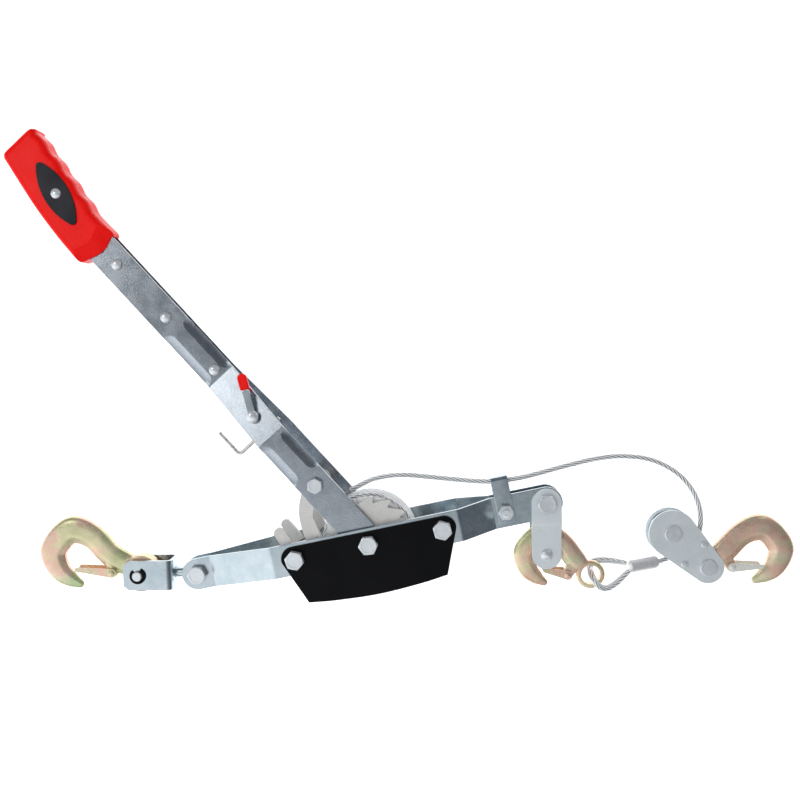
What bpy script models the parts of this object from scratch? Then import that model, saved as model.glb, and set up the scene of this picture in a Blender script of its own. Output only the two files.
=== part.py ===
"""Come along winch: a lever-worked cable puller, lying flat on its side.

Every length below is in millimetres; the helpers turn them into metres.
World frame: +Z up, the origin on the drum's axis at the level the winch lies on, +X along the frame
from the anchor hook to the pulley block, +Y on the side of the handle's grip. Heights written as z
are measured from the frame's middle plane, which lies MID_Z above the ground.
"""
import math

import bmesh
import bpy
from mathutils import Matrix, Vector

MM = 0.001
GAP = 0.3                 # clearance kept between touching pieces
SPARE = 2.0               # a blank's allowance past the outline that trims it
MID_Z = 40.0              # middle plane above the ground

# frame
FRAME_END_X = 170.0       # anchor bolt at -x, nose bolt at +x
FRAME_TIP = 15.5          # plate past each end bolt
FRAME_HALF_WIDTH = 15.0
FRAME_THICKNESS = 3.0
FRAME_INNER_Z = 27.0      # half of the gap round the drum
FRAME_END_INNER_Z = 6.3   # half of the gap at both ends
FRAME_BEND_LEFT = (-155.0, -92.0)
FRAME_BEND_RIGHT = (87.0, 118.0)
SIDE_BOLT_X = 70.0
BOLT_R = 5.0
HEAD_FLATS = 16.0
HEAD_HEIGHT = 6.4
NUT_HEIGHT = 7.9
COVER_THICKNESS = 1.5
COVER_LIP = 5.0
CLIP_BOLT = (131.0, 0.0)
CLIP_HALF_WIDTH = 8.0

# drum and ratchet
TEETH = 16
TOOTH_FACE_DEG = 163.0
TIP_R = 43.0
ROOT_R = 37.0
TOOTH_LAND_DEG = 4.0
TOOTH_BACK_SHARE = 0.4    # of a tooth's back is spent reaching half its depth
WHEEL_Z = (17.0, 22.6)
CORE_R = 18.0
BUSH_R = 7.0
WINDING_R = 45.0
WINDING_Z = 16.4

# pawls
STOP_PIVOT = (-SIDE_BOLT_X, 0.0)
STOP_FACE_DEG = TOOTH_FACE_DEG + 45.0
STOP_OPEN_DEG = 12.0
THUMB_DEG = 114.6
THUMB_LENGTH = 28.0
DRIVE_OPEN_DEG = 7.0
STOP_CLEAR_DEG = 4.5      # room between a pawl's nose and the tooth it bears on, so it can swing out
DRIVE_CLEAR_DEG = 2.5
STOP_NOSE_CLEAR = 2.2     # and between the nose and the tooth's root
DRIVE_NOSE_CLEAR = 1.4
PAWL_HUB_R = 8.5

# handle, along its own axis from the drum's axis
HANDLE_DEG = 120.4
HANDLE_HALF_WIDTH = 15.25
HANDLE_THICKNESS = 2.8
YOKE_INNER_Z = 23.6
SHANK_INNER_Z = 4.7
YOKE_BEND = (134.0, 209.0)
TANG_START = 384.0
TANG_END = 446.0
TANG_HALF_WIDTH = 9.0
DRIVE_PAWL_AT = 73.5
ROD_AT = 143.5
LEVER_AT = 159.8
LEVER_Z = (21.8, 23.8)
LEVER_TURN = -27.8        # the lever's direction, from the handle's axis
LEVER_REACH = 34.0
SHANK_RIVETS_AT = (217.8, 285.1, 352.7)
GRIP_RIVET_AT = (436.0, -5.3)
GRIP_HALF_THICKNESS = 14.5
GRIP_SCALLOPS = 4
GRIP_SCALLOP_PITCH = 22.6

# anchor end
ANCHOR_DEG = 168.9
CLEVIS_BACK = 24.0        # from the anchor bolt
CLEVIS_PIN = 57.0
CLEVIS_FRONT = 71.3
CLEVIS_HALF_WIDTH = 14.2
CLEVIS_HALF_HEIGHT = 14.0
CLEVIS_THICKNESS = 3.0
ANCHOR_HOOK_DEG = 154.5

# link and cable hook
LINK_DEG = -101.0
LINK_LENGTH = 49.5
LINK_END_R = 14.0
LINK_JOGGLE = (19.5, 28.5)
CABLE_HOOK_EYE = (197.8, -77.6)
CABLE_HOOK_DEG = 148.6

# pulley block
BLOCK_Z = -28.5
SHEAVE_AT = (286.0, -61.0)
SHEAVE_R = 20.0
BLOCK_DEG = -55.8
BLOCK_LENGTH = 47.9
BLOCK_BIG_R = 23.0
BLOCK_SMALL_R = 15.5
BLOCK_INNER_Z = 6.6
BLOCK_THICKNESS = 2.2
LOAD_HOOK_DEG = 2.5

# cable
CABLE_R = 2.5

# A forged hook's centre line round its bowl: (along, across, half width), from the bowl's centre, in the
# anchor hook's size. Along points from the eye to the bowl and across points to the mouth.
HOOK_SPINE = (
    (-29.9, -8.9, 11.6), (-9.0, -22.3, 12.0), (8.8, -25.5, 13.4), (19.3, -18.7, 13.0), (26.6, -2.2, 12.8),
    (24.0, 8.2, 12.0), (15.6, 18.6, 10.2), (5.0, 23.6, 8.0), (-2.5, 25.6, 5.2), (-7.5, 26.6, 3.4),
    (-9.0, 26.9, 1.4),
)
HOOK_FLATNESS = 0.5       # half thickness over half width

# The cable's run from the drum over the clip and round the sheave to the ferrule: x, y, z
CABLE_ROUTE = (
    (-9.5, 48.2, 0.0), (1.4, 51.4, 0.0), (13.0, 54.3, 0.0), (26.8, 54.6, 0.0), (40.1, 53.0, 0.0),
    (53.2, 49.8, 0.0), (68.6, 45.0, 0.0), (87.8, 38.9, 0.0), (100.6, 34.9, 0.0), (113.4, 31.3, 0.0),
    (124.1, 29.0, 0.0), (133.2, 27.9, 0.0), (144.1, 27.1, 0.0), (157.7, 27.0, -0.3), (174.2, 27.7, -1.1),
    (190.4, 28.4, -2.4), (214.9, 28.8, -6.3), (229.1, 28.3, -8.8), (243.8, 26.6, -11.5),
    (257.9, 23.2, -14.2), (271.5, 18.4, -17.0), (285.3, 10.8, -20.0), (298.1, 0.0, -23.0),
    (307.8, -12.0, -25.6), (314.3, -25.1, -27.6), (317.5, -38.1, -28.5), (317.6, -50.0, -28.5),
    (315.2, -61.0, -28.5), (309.8, -71.5, -28.5), (300.8, -80.0, -28.5), (289.5, -84.6, -28.3),
    (278.0, -85.6, -25.5), (266.6, -84.9, -19.0),
)

# The rope eye and its thimble, through the cable hook's eye: x, y, z
THIMBLE_ROUTE = (
    (234.9, -84.4, -7.2), (227.0, -87.8, -2.4), (218.0, -91.0, 3.0), (209.5, -92.0, 7.4),
    (203.0, -88.6, 9.0), (199.7, -82.2, 7.9), (198.6, -77.6, 0.0), (199.7, -73.0, -7.9),
    (203.0, -69.4, -10.2), (209.5, -69.6, -11.6), (218.0, -71.6, -12.4), (227.0, -74.6, -11.8),
    (234.9, -77.4, -9.8),
)
FERRULE_ENDS = ((237.4, -81.1, -9.2), (266.0, -84.7, -18.8))


# ---------------------------------------------------------------- collections and materials

def clear_scene():
    for obj in list(bpy.data.objects):
        bpy.data.objects.remove(obj, do_unlink=True)


def collection(name):
    made = bpy.data.collections.new(name)
    bpy.context.scene.collection.children.link(made)
    return made


def material(name, colour, metallic, roughness):
    made = bpy.data.materials.new(name)
    made.use_nodes = True
    shader = made.node_tree.nodes["Principled BSDF"]
    shader.inputs["Base Color"].default_value = (*colour, 1.0)
    shader.inputs["Metallic"].default_value = metallic
    shader.inputs["Roughness"].default_value = roughness
    made.diffuse_color = (*colour, 1.0)
    return made


clear_scene()
PARTS = collection("come_along_winch")
ZINC = material("bright_zinc", (0.72, 0.78, 0.82), 0.9, 0.3)
HANDLE_ZINC = material("grey_zinc", (0.42, 0.46, 0.50), 0.85, 0.42)
FORGED = material("yellow_zinc", (0.66, 0.56, 0.38), 0.85, 0.35)
CAST = material("pale_steel", (0.58, 0.57, 0.55), 0.6, 0.5)
BOLT_STEEL = material("bolt_steel", (0.74, 0.77, 0.80), 0.95, 0.28)
BLACK_PAINT = material("black_paint", (0.012, 0.012, 0.013), 0.0, 0.45)
RED_PLASTIC = material("red_plastic", (0.75, 0.02, 0.015), 0.0, 0.35)
BLACK_PLASTIC = material("black_plastic", (0.02, 0.02, 0.022), 0.0, 0.5)
ROPE_STEEL = material("rope_steel", (0.60, 0.61, 0.62), 0.85, 0.4)
FERRULE_METAL = material("ferrule_aluminium", (0.80, 0.81, 0.82), 0.7, 0.4)
SPRING_STEEL = material("spring_steel", (0.30, 0.31, 0.32), 0.9, 0.35)


# ---------------------------------------------------------------- shape helpers

def polar(radius, degrees, centre=(0.0, 0.0)):
    angle = math.radians(degrees)
    return (centre[0] + radius * math.cos(angle), centre[1] + radius * math.sin(angle))


def arc(centre, radius, start, end, count):
    return [polar(radius, start + (end - start) * i / (count - 1), centre) for i in range(count)]


def circle(radius, centre=(0.0, 0.0), count=14):
    return [polar(radius, 360.0 * i / count, centre) for i in range(count)]


def stadium(start_x, end_x, half_width, count=9):
    """A strip with round ends, centred on the X axis; its end centres are half_width in from the ends."""
    return (arc((end_x - half_width, 0), half_width, -90, 90, count)
            + arc((start_x + half_width, 0), half_width, 90, 270, count))


def hull_of_circles(near, near_r, far, far_r, count=12):
    """The outline of a belt round two circles."""
    run = Vector(far) - Vector(near)
    heading = math.degrees(math.atan2(run.y, run.x))
    lean = math.degrees(math.acos((near_r - far_r) / run.length))
    return (arc(far, far_r, heading - lean, heading + lean, count)
            + arc(near, near_r, heading + lean, heading - lean + 360, count))


def new_object(name, mesh):
    obj = bpy.data.objects.new(name, mesh)
    bpy.context.scene.collection.objects.link(obj)
    return obj


def baked(obj, weld=1e-6):
    """Replace an object by its evaluated mesh, welded, with no modifiers left."""
    graph = bpy.context.evaluated_depsgraph_get()
    mesh = bpy.data.meshes.new_from_object(obj.evaluated_get(graph))
    bm = bmesh.new()
    bm.from_mesh(mesh)
    bmesh.ops.remove_doubles(bm, verts=bm.verts, dist=weld)
    bm.to_mesh(mesh)
    bm.free()
    made = new_object(obj.name + "_mesh", mesh)
    made.matrix_world = obj.matrix_world.copy()
    bpy.data.objects.remove(obj, do_unlink=True)
    return made


def prism(loops, low, high):
    """Flat outlines, the later ones holes, extruded from z = low to z = high."""
    curve = bpy.data.curves.new("outline", "CURVE")
    curve.dimensions = "2D"
    curve.fill_mode = "BOTH"
    curve.extrude = (high - low) / 2 * MM
    for loop in loops:
        spline = curve.splines.new("POLY")
        spline.points.add(len(loop) - 1)
        spline.use_cyclic_u = True
        for point, (x, y) in zip(spline.points, loop):
            point.co = (x * MM, y * MM, 0, 1)
    made = baked(new_object("outline", curve))
    made.data.transform(Matrix.Translation((0, 0, (high + low) / 2 * MM)))
    return made


def side_prism(loop, half_width):
    """An outline drawn in x and z, extruded across y."""
    made = prism([loop], -half_width, half_width)
    made.data.transform(Matrix.Rotation(math.radians(90), 4, "X"))
    return made


def cylinder(radius, low, high, centre=(0.0, 0.0), sides=20, top_radius=None, turn=0.0):
    mesh = bpy.data.meshes.new("cylinder")
    bm = bmesh.new()
    place = Matrix.Translation((centre[0] * MM, centre[1] * MM, (low + high) / 2 * MM))
    bmesh.ops.create_cone(bm, cap_ends=True, segments=sides, radius1=radius * MM,
                          radius2=(radius if top_radius is None else top_radius) * MM,
                          depth=(high - low) * MM, matrix=place @ Matrix.Rotation(turn, 4, "Z"))
    bm.to_mesh(mesh)
    bm.free()
    return new_object("cylinder", mesh)


def turned(profile, sides=24):
    """A profile of (radius, z) from top to bottom on the outer side, turned about Z."""
    mesh = bpy.data.meshes.new("profile")
    bm = bmesh.new()
    verts = [bm.verts.new((radius * MM, 0, z * MM)) for radius, z in profile]
    for a, b in zip(verts, verts[1:]):
        bm.edges.new((a, b))
    if profile[0][0] > 0:
        bm.edges.new((verts[-1], verts[0]))
    bm.to_mesh(mesh)
    bm.free()
    obj = new_object("profile", mesh)
    screw = obj.modifiers.new("Screw", "SCREW")
    screw.steps = screw.render_steps = sides
    screw.use_merge_vertices = True
    screw.merge_threshold = 0.00001
    return baked(obj)


def tube(points, radius, resolution=2, radii=None):
    """A round bar through points given as x, y, z."""
    curve = bpy.data.curves.new("tube", "CURVE")
    curve.dimensions = "3D"
    curve.bevel_depth = radius * MM
    curve.bevel_resolution = resolution
    curve.use_fill_caps = True
    spline = curve.splines.new("POLY")
    spline.points.add(len(points) - 1)
    for i, (point, (x, y, z)) in enumerate(zip(spline.points, points)):
        point.co = (x * MM, y * MM, z * MM, 1)
        point.radius = 1.0 if radii is None else radii[i]
    return baked(new_object("tube", curve))


def smooth_path(points, step):
    """A smooth curve through the points, read off about every step along it."""
    nodes = [Vector(p) for p in points]
    nodes = [2 * nodes[0] - nodes[1]] + nodes + [2 * nodes[-1] - nodes[-2]]
    path = []
    for a, b, c, d in zip(nodes, nodes[1:], nodes[2:], nodes[3:]):
        count = max(1, round((c - b).length / step))
        for i in range(count):
            t = i / count
            path.append(0.5 * (2 * b + (c - a) * t + (2 * a - 5 * b + 4 * c - d) * t * t
                               + (3 * b - a - 3 * c + d) * t ** 3))
    return [tuple(p) for p in path] + [tuple(nodes[-2])]


def boolean(target, tools, operation):
    for tool in tools:
        change = target.modifiers.new("Boolean", "BOOLEAN")
        change.operation = operation
        change.object = tool
        change.solver = "EXACT"
    made = baked(target)
    for tool in tools:
        bpy.data.objects.remove(tool, do_unlink=True)
    return made


def bevelled(obj, width, segments=2, angle=40):
    bevel = obj.modifiers.new("Bevel", "BEVEL")
    bevel.width = width * MM
    bevel.segments = segments
    bevel.limit_method = "ANGLE"
    bevel.angle_limit = math.radians(angle)
    return baked(obj)


def moved(obj, x=0.0, y=0.0, z=0.0, turn_deg=0.0):
    place = Matrix.Translation((x * MM, y * MM, z * MM)) @ Matrix.Rotation(math.radians(turn_deg), 4, "Z")
    obj.data.transform(place)
    return obj


def mirrored_in_z(obj):
    """A copy on the other side of the middle plane."""
    copy = new_object("copy", obj.data.copy())
    copy.data.transform(Matrix.Scale(-1, 4, (0, 0, 1)))
    copy.data.flip_normals()
    return copy


# ---------------------------------------------------------------- placing

def pivot(name, x, y, z=0.0, turn_deg=0.0, parent=None):
    """An empty on a joint's axis, placed in the frame's own coordinates."""
    empty = bpy.data.objects.new(name, None)
    empty.empty_display_size = 0.01
    PARTS.objects.link(empty)
    world = (Matrix.Translation((x * MM, y * MM, (z + MID_Z) * MM))
             @ Matrix.Rotation(math.radians(turn_deg), 4, "Z"))
    empty.parent = parent
    empty.matrix_world = world
    bpy.context.view_layer.update()
    return empty


def part(obj, name, surface, holder):
    """Name a solid, give it its material and hang it on its pivot, whose coordinates it is drawn in."""
    obj.name = name
    obj.data.name = name
    obj.data.materials.clear()
    obj.data.materials.append(surface)
    obj.data.shade_smooth()
    obj.data.set_sharp_from_angle(angle=math.radians(35))
    bpy.context.scene.collection.objects.unlink(obj)
    PARTS.objects.link(obj)
    obj.parent = holder
    obj.matrix_local = Matrix.Identity(4)
    return obj


# ---------------------------------------------------------------- fasteners and common shapes

def hex_prism(flats, low, high, centre, turn_deg=0.0):
    return cylinder(flats / math.sqrt(3), low, high, centre, sides=6, turn=math.radians(turn_deg))


def hex_bolt(centre, radius, flats, low, high, head, nut, stud=0.0, turn_deg=15.0):
    """A bolt with its head above z = high and its nut below z = low; the stud shows past the nut."""
    shank = cylinder(radius, low - nut - stud + (0.5 if stud == 0 else 0), high + head - 1, centre, 12)
    cap = hex_prism(flats, high, high + head, centre, turn_deg)
    lower = hex_prism(flats, low - nut, low, centre, turn_deg + 20)
    return boolean(shank, [cap, lower], "UNION")


def rivet(centre, radius, low, high, head_r, head_h):
    """A pin with a domed head at each end, in one turned profile."""
    steps = 3
    top = [(head_r * math.sin(math.pi / 2 * i / steps), high + head_h * math.cos(math.pi / 2 * i / steps))
           for i in range(steps + 1)]
    top[0] = (0.0, high + head_h)
    profile = top + [(radius, high), (radius, low)] + [(r, low + high - z) for r, z in reversed(top)]
    return moved(turned(profile, 12), *centre)


def spring(radius, wire, turns, pitch, legs_deg, leg):
    """A torsion spring round Z, with a straight leg at each end."""
    per_turn = 9
    steps = round(turns * per_turn)
    height = turns * pitch
    points = []
    for i in range(steps + 1):
        angle = math.radians(legs_deg[0] - 90) + 2 * math.pi * i / per_turn
        points.append((radius * math.cos(angle), radius * math.sin(angle), -height / 2 + height * i / steps))
    first, second = points[0], points[-1]
    start = polar(leg, legs_deg[0] + 180, first[:2])
    last_angle = math.degrees(math.atan2(second[1], second[0])) + 90
    end = polar(leg, last_angle, second[:2])
    return tube([(*start, first[2])] + points + [(*end, second[2])], wire, 0)


def forged_hook(eye_to_bowl, size, eye_r, hole_r, eye_half, latch_at, mirror=False):
    """A sling hook with its eye at the origin and its bowl along +X; the mouth is on +Y, or on -Y."""
    side = -1 if mirror else 1
    spine = [(eye_to_bowl + a * size, side * c * size, 0.0) for a, c, _ in HOOK_SPINE]
    widths = [w * size for _, _, w in HOOK_SPINE]
    start = Vector(spine[0]).normalized() * (eye_r + hole_r) / 2
    spine = [tuple(start)] + spine
    path = smooth_path([(*p[:2], w) for p, w in zip(spine, [eye_r * 0.62] + widths)], 13.0 * size)
    body = tube([(x, y, 0.0) for x, y, _ in path], 1.0, 3, [w for _, _, w in path])
    body.data.transform(Matrix.Scale(HOOK_FLATNESS, 4, (0, 0, 1)))
    eye = bevelled(cylinder(eye_r, -eye_half, eye_half, sides=20), 1.5, 1)
    boss = prism([hull_of_circles(spine[1][:2], 6.5 * size, latch_at, 5.0, 7)], -4.4, 4.4)
    body = boolean(body, [eye, boss], "UNION")
    return boolean(body, [cylinder(hole_r, -20, 20, sides=18),
                          cylinder(2.35, -20, 20, latch_at, 10)], "DIFFERENCE")


def hook_latch(length, mirror=False, outer=6.9):
    """A sheet-steel keeper on its rivet at the origin, reaching along +X; its web is on the mouth's side."""
    side = -1 if mirror else 1
    outline = hull_of_circles((0, 0), 4.4, (length, 0), 2.0, 6)
    keeper = prism([outline], -outer, outer)
    inner = outer - 1.1
    web_from, web_depth = 10.0, 1.3
    slope = (4.4 - 2.0) / length
    slot = [(-8, 8), (-8, -8), (length + 4, -8), (length + 4, 2.0 - 4 * slope - web_depth),
            (web_from, 4.4 - slope * web_from - web_depth), (web_from, 8)]
    keeper = boolean(keeper, [prism([slot], -inner, inner)], "DIFFERENCE")
    keeper = boolean(keeper, [rivet((0, 0), 2.0, 0.1 - outer, outer - 0.1, 3.3, 1.6)], "UNION")
    if side < 0:
        keeper.data.transform(Matrix.Scale(-1, 4, (0, 1, 0)))
        keeper.data.flip_normals()
    return keeper


# ---------------------------------------------------------------- frame

def frame_plate():
    """The upper side plate: a strip bent in to both ends, with its bolt holes."""
    end = FRAME_END_X + FRAME_TIP
    path = [(-end - SPARE, FRAME_END_INNER_Z), (FRAME_BEND_LEFT[0], FRAME_END_INNER_Z),
            (FRAME_BEND_LEFT[1], FRAME_INNER_Z), (FRAME_BEND_RIGHT[0], FRAME_INNER_Z),
            (FRAME_BEND_RIGHT[1], FRAME_END_INNER_Z), (end + SPARE, FRAME_END_INNER_Z)]
    outline = path + [(x, z + FRAME_THICKNESS) for x, z in reversed(path)]
    strip = side_prism(outline, FRAME_HALF_WIDTH + SPARE)
    plan = [stadium(-end, end, FRAME_HALF_WIDTH, 8)]
    for x in (-FRAME_END_X, -SIDE_BOLT_X, 0.0, SIDE_BOLT_X, FRAME_END_X):
        plan.append(circle(BOLT_R + 0.5, (x, 0)))
    plan.append(circle(4.5, CLIP_BOLT, 12))
    return boolean(strip, [prism(plan, 0, 40)], "INTERSECT")


def cover():
    """The upper side cover: a black sheet over the drum, with a lip turned in along its bottom edge."""
    low = FRAME_INNER_Z + FRAME_THICKNESS + GAP
    bottom = [(-66, -42.5), (-40, -45.5), (0, -47.5), (40, -45.5), (66, -42.5)]
    top_left, top_right = (-SIDE_BOLT_X - 2, 1.0), (SIDE_BOLT_X + 2, 1.0)
    outline = bottom + arc(top_right, 11.0, -12, 90, 7) + arc(top_left, 11.0, 90, 192, 7)
    holes = [circle(BOLT_R + 0.5, (x, 0)) for x in (-SIDE_BOLT_X, 0, SIDE_BOLT_X)]
    sheet = prism([outline] + holes, low, low + COVER_THICKNESS)
    inner = [(x, y + COVER_THICKNESS) for x, y in reversed(bottom)]
    lip = prism([bottom + inner], low - COVER_LIP, low + COVER_THICKNESS / 2)
    return boolean(sheet, [lip], "UNION")


def cable_clip():
    """A strap over the cable, with a leg down each side of the nose."""
    inner = FRAME_END_INNER_Z + FRAME_THICKNESS + GAP
    outer = inner + 2.0
    inside_top, top = 32.3, 34.3
    loop = [(-10.8, inner), (-10.8, outer), (top - 3, outer), (top, outer - 3), (top, 3 - outer),
            (top - 3, -outer), (-10.8, -outer), (-10.8, -inner), (inside_top - 2, -inner),
            (inside_top, 2 - inner), (inside_top, inner - 2), (inside_top - 2, inner)]
    strap = prism([loop], -CLIP_HALF_WIDTH, CLIP_HALF_WIDTH)
    turn = Matrix(((0, 0, 1, 0), (1, 0, 0, 0), (0, 1, 0, 0), (0, 0, 0, 1)))
    strap.data.transform(turn)
    strap = boolean(strap, [cylinder(4.5, -20, 20, (0, 0), 12)], "DIFFERENCE")
    return moved(strap, *CLIP_BOLT)


def build_frame():
    root = pivot("winch_frame", 0, 0)
    plate = frame_plate()
    part(mirrored_in_z(plate), "frame_plate_lower", ZINC, root)
    part(plate, "frame_plate_upper", ZINC, root)
    sheet = cover()
    part(mirrored_in_z(sheet), "cover_lower", BLACK_PAINT, root)
    part(sheet, "cover_upper", BLACK_PAINT, root)
    outside = FRAME_INNER_Z + FRAME_THICKNESS + COVER_THICKNESS + 2 * GAP
    for name, x in (("pawl_bolt", -SIDE_BOLT_X), ("main_bolt", 0.0), ("spacer_bolt", SIDE_BOLT_X)):
        nut = MID_Z - outside
        part(hex_bolt((x, 0), BOLT_R, HEAD_FLATS, -outside, outside, HEAD_HEIGHT, nut), name, BOLT_STEEL, root)
    end_outside = FRAME_END_INNER_Z + FRAME_THICKNESS + GAP
    part(hex_bolt((-FRAME_END_X, 0), BOLT_R, HEAD_FLATS, -end_outside, end_outside, HEAD_HEIGHT, NUT_HEIGHT),
         "anchor_bolt", BOLT_STEEL, root)
    nose = end_outside + 3.0 + 2 * GAP
    part(hex_bolt((FRAME_END_X, 0), BOLT_R, HEAD_FLATS, -nose, nose, HEAD_HEIGHT, NUT_HEIGHT),
         "nose_bolt", BOLT_STEEL, root)
    sleeve = FRAME_INNER_Z - GAP
    part(turned([(8.0, sleeve), (8.0, -sleeve), (BOLT_R + 0.5, -sleeve), (BOLT_R + 0.5, sleeve)], 16),
         "frame_spacer", ZINC, root).location = (SIDE_BOLT_X * MM, 0, 0)
    bush = YOKE_INNER_Z - GAP
    part(turned([(BUSH_R, bush), (BUSH_R, -bush), (BOLT_R + 0.5, -bush), (BOLT_R + 0.5, bush)], 16),
         "drum_bush", CAST, root)
    part(cable_clip(), "cable_clip", ZINC, root)
    clip_outside = end_outside + 2.0 + GAP
    clip_bolt = hex_bolt((0, 0), 4.0, 13.0, -clip_outside, clip_outside, 5.3, 6.5, stud=2.0, turn_deg=20)
    clip_bolt.data.transform(Matrix.Rotation(math.pi, 4, "X"))
    part(moved(clip_bolt, *CLIP_BOLT), "clip_bolt", BOLT_STEEL, root)
    return root


# ---------------------------------------------------------------- drum and pawls

def ratchet_wheel():
    """Saw teeth whose steep faces look clockwise, seen from above."""
    pitch = 360.0 / TEETH
    outline = []
    for i in range(TEETH):
        face = TOOTH_FACE_DEG + i * pitch
        outline += [polar(ROOT_R, face), polar(TIP_R, face), polar(TIP_R, face + TOOTH_LAND_DEG),
                    polar((TIP_R + ROOT_R) / 2, face + TOOTH_LAND_DEG + (pitch - TOOTH_LAND_DEG) * TOOTH_BACK_SHARE)]
    return prism([outline, circle(BUSH_R + 0.4, count=16)], *WHEEL_Z)


def stop_pawl():
    """The upper stop pawl, drawn as it bears on a tooth and then swung clear; its hub fills the side gap."""
    pivot_at = Vector(STOP_PIVOT)
    nose = [polar(ROOT_R + STOP_NOSE_CLEAR, STOP_FACE_DEG - STOP_CLEAR_DEG), (-44.3, -9.0), (-64.0, 6.0),
            (-72.0, -8.0), (-44.0, -20.5), polar(TIP_R + 0.4, STOP_FACE_DEG - STOP_CLEAR_DEG)]
    arm = prism([[(x - pivot_at.x, y - pivot_at.y) for x, y in nose]], WHEEL_Z[0] + 0.2, WHEEL_Z[1])
    moved(arm, turn_deg=-STOP_OPEN_DEG)
    thumb = hull_of_circles((0, 0), 6.5, polar(THUMB_LENGTH, THUMB_DEG), 4.75, 8)
    thumb = prism([thumb], WHEEL_Z[0] + 0.1, WHEEL_Z[1] - 0.1)
    hub = cylinder(PAWL_HUB_R, WHEEL_Z[0], FRAME_INNER_Z - GAP, sides=18)
    pawl = boolean(hub, [arm, thumb], "UNION")
    return boolean(pawl, [cylinder(BOLT_R + 0.4, 0, 40, sides=14)], "DIFFERENCE")


def drive_pawl():
    """Two cheeks on one hub, drawn at the pivot as they bear on a tooth and then swung clear."""
    at = polar(DRIVE_PAWL_AT, HANDLE_DEG)
    outline = [polar(ROOT_R + DRIVE_NOSE_CLEAR, TOOTH_FACE_DEG - DRIVE_CLEAR_DEG),
               polar(TIP_R + 0.5, TOOTH_FACE_DEG - DRIVE_CLEAR_DEG), (-47.0, 9.5), (-52.5, 15.0),
               (-55.8, 35.0), (-53.0, 52.0), (-45.5, 66.0), (-30.0, 60.0), (-41.0, 44.0), (-43.2, 33.0)]
    local = [(x - at[0], y - at[1]) for x, y in outline]
    cheeks = [prism([local], WHEEL_Z[0] + 0.2, WHEEL_Z[1]), prism([local], -WHEEL_Z[1], -WHEEL_Z[0] - 0.2)]
    hub = cylinder(PAWL_HUB_R, -WHEEL_Z[1] - 0.2, WHEEL_Z[1] + 0.2, sides=18)
    pawl = boolean(hub, cheeks, "UNION")
    pawl = boolean(pawl, [cylinder(4.4, -40, 40, sides=12)], "DIFFERENCE")
    return moved(pawl, turn_deg=-DRIVE_OPEN_DEG - HANDLE_DEG)


def build_drum(root):
    drum = pivot("drum_axis", 0, 0, parent=root)
    wheel = ratchet_wheel()
    part(mirrored_in_z(wheel), "ratchet_wheel_lower", CAST, drum)
    part(wheel, "ratchet_wheel_upper", CAST, drum)
    core = WHEEL_Z[0] - GAP
    bore = BUSH_R + 0.4
    part(turned([(CORE_R, core), (CORE_R, -core), (bore, -core), (bore, core)], 20), "drum_core", CAST, drum)
    rope = [(WINDING_R - 1.2, WINDING_Z), (WINDING_R, WINDING_Z - 1.5), (WINDING_R, 1.5 - WINDING_Z),
            (WINDING_R - 1.2, -WINDING_Z), (CORE_R + 0.4, -WINDING_Z), (CORE_R + 0.4, WINDING_Z)]
    part(turned(rope, 30), "cable_winding", ROPE_STEEL, drum)


def build_stop_pawls(root):
    pawl = stop_pawl()
    for name, solid in (("stop_pawl_lower", mirrored_in_z(pawl)), ("stop_pawl_upper", pawl)):
        part(solid, name, CAST, pivot(name + "_axis", *STOP_PIVOT, parent=root))
    coil = spring(7.4, 0.9, 6, 2.6, (200.0, 20.0), 9.0)
    part(moved(coil, *STOP_PIVOT), "stop_pawl_spring", SPRING_STEEL, root)


# ---------------------------------------------------------------- handle

def handle_plate():
    """The upper handle plate, along +X from the drum's axis: a wide yoke, a bend and a narrow shank."""
    path = [(-HANDLE_HALF_WIDTH - SPARE, YOKE_INNER_Z), (YOKE_BEND[0], YOKE_INNER_Z),
            (YOKE_BEND[1], SHANK_INNER_Z), (TANG_END + SPARE, SHANK_INNER_Z)]
    outline = path + [(x, z + HANDLE_THICKNESS) for x, z in reversed(path)]
    strip = side_prism(outline, HANDLE_HALF_WIDTH + SPARE)
    plan = (arc((0, 0), HANDLE_HALF_WIDTH, 90, 270, 9)
            + [(TANG_START, -HANDLE_HALF_WIDTH), (TANG_START, -TANG_HALF_WIDTH), (TANG_END, -TANG_HALF_WIDTH),
               (TANG_END, TANG_HALF_WIDTH), (TANG_START, TANG_HALF_WIDTH), (TANG_START, HANDLE_HALF_WIDTH)])
    holes = [circle(BOLT_R + 0.5), circle(4.4, (DRIVE_PAWL_AT, 0), 12), circle(3.35, (LEVER_AT, 0), 10),
             circle(3.35, GRIP_RIVET_AT, 10)]
    holes += [circle(3.35, (x, 0), 10) for x in SHANK_RIVETS_AT]
    return boolean(strip, [prism([plan] + holes, 0, 40)], "INTERSECT")


def grip_outline():
    """The grip seen from above: blunt rounded end, straight back and a scalloped finger side."""
    first, slope, depth = 402.0, -0.135, 1.9
    fingers = []
    per_scallop = 4
    for i in range(GRIP_SCALLOPS * per_scallop + 1):
        x = first + GRIP_SCALLOP_PITCH * i / per_scallop
        wave = abs(math.sin(math.pi * i / per_scallop)) * depth
        fingers.append((x, -17.6 + slope * (x - first) - wave))
    end = arc((492.0, -25.0), 6.8, -80, 0, 5) + arc((493.2, 4.0), 6.0, 0, 78, 5)
    back = [(470.0, 14.6), (441.0, 19.8), (410.0, 23.2), (381.0, 24.8)]
    mouth = [(372.5, 13.0), (369.6, 3.0), (370.6, -8.0), (374.0, -18.2)]
    return mouth + fingers + end + back


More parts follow.
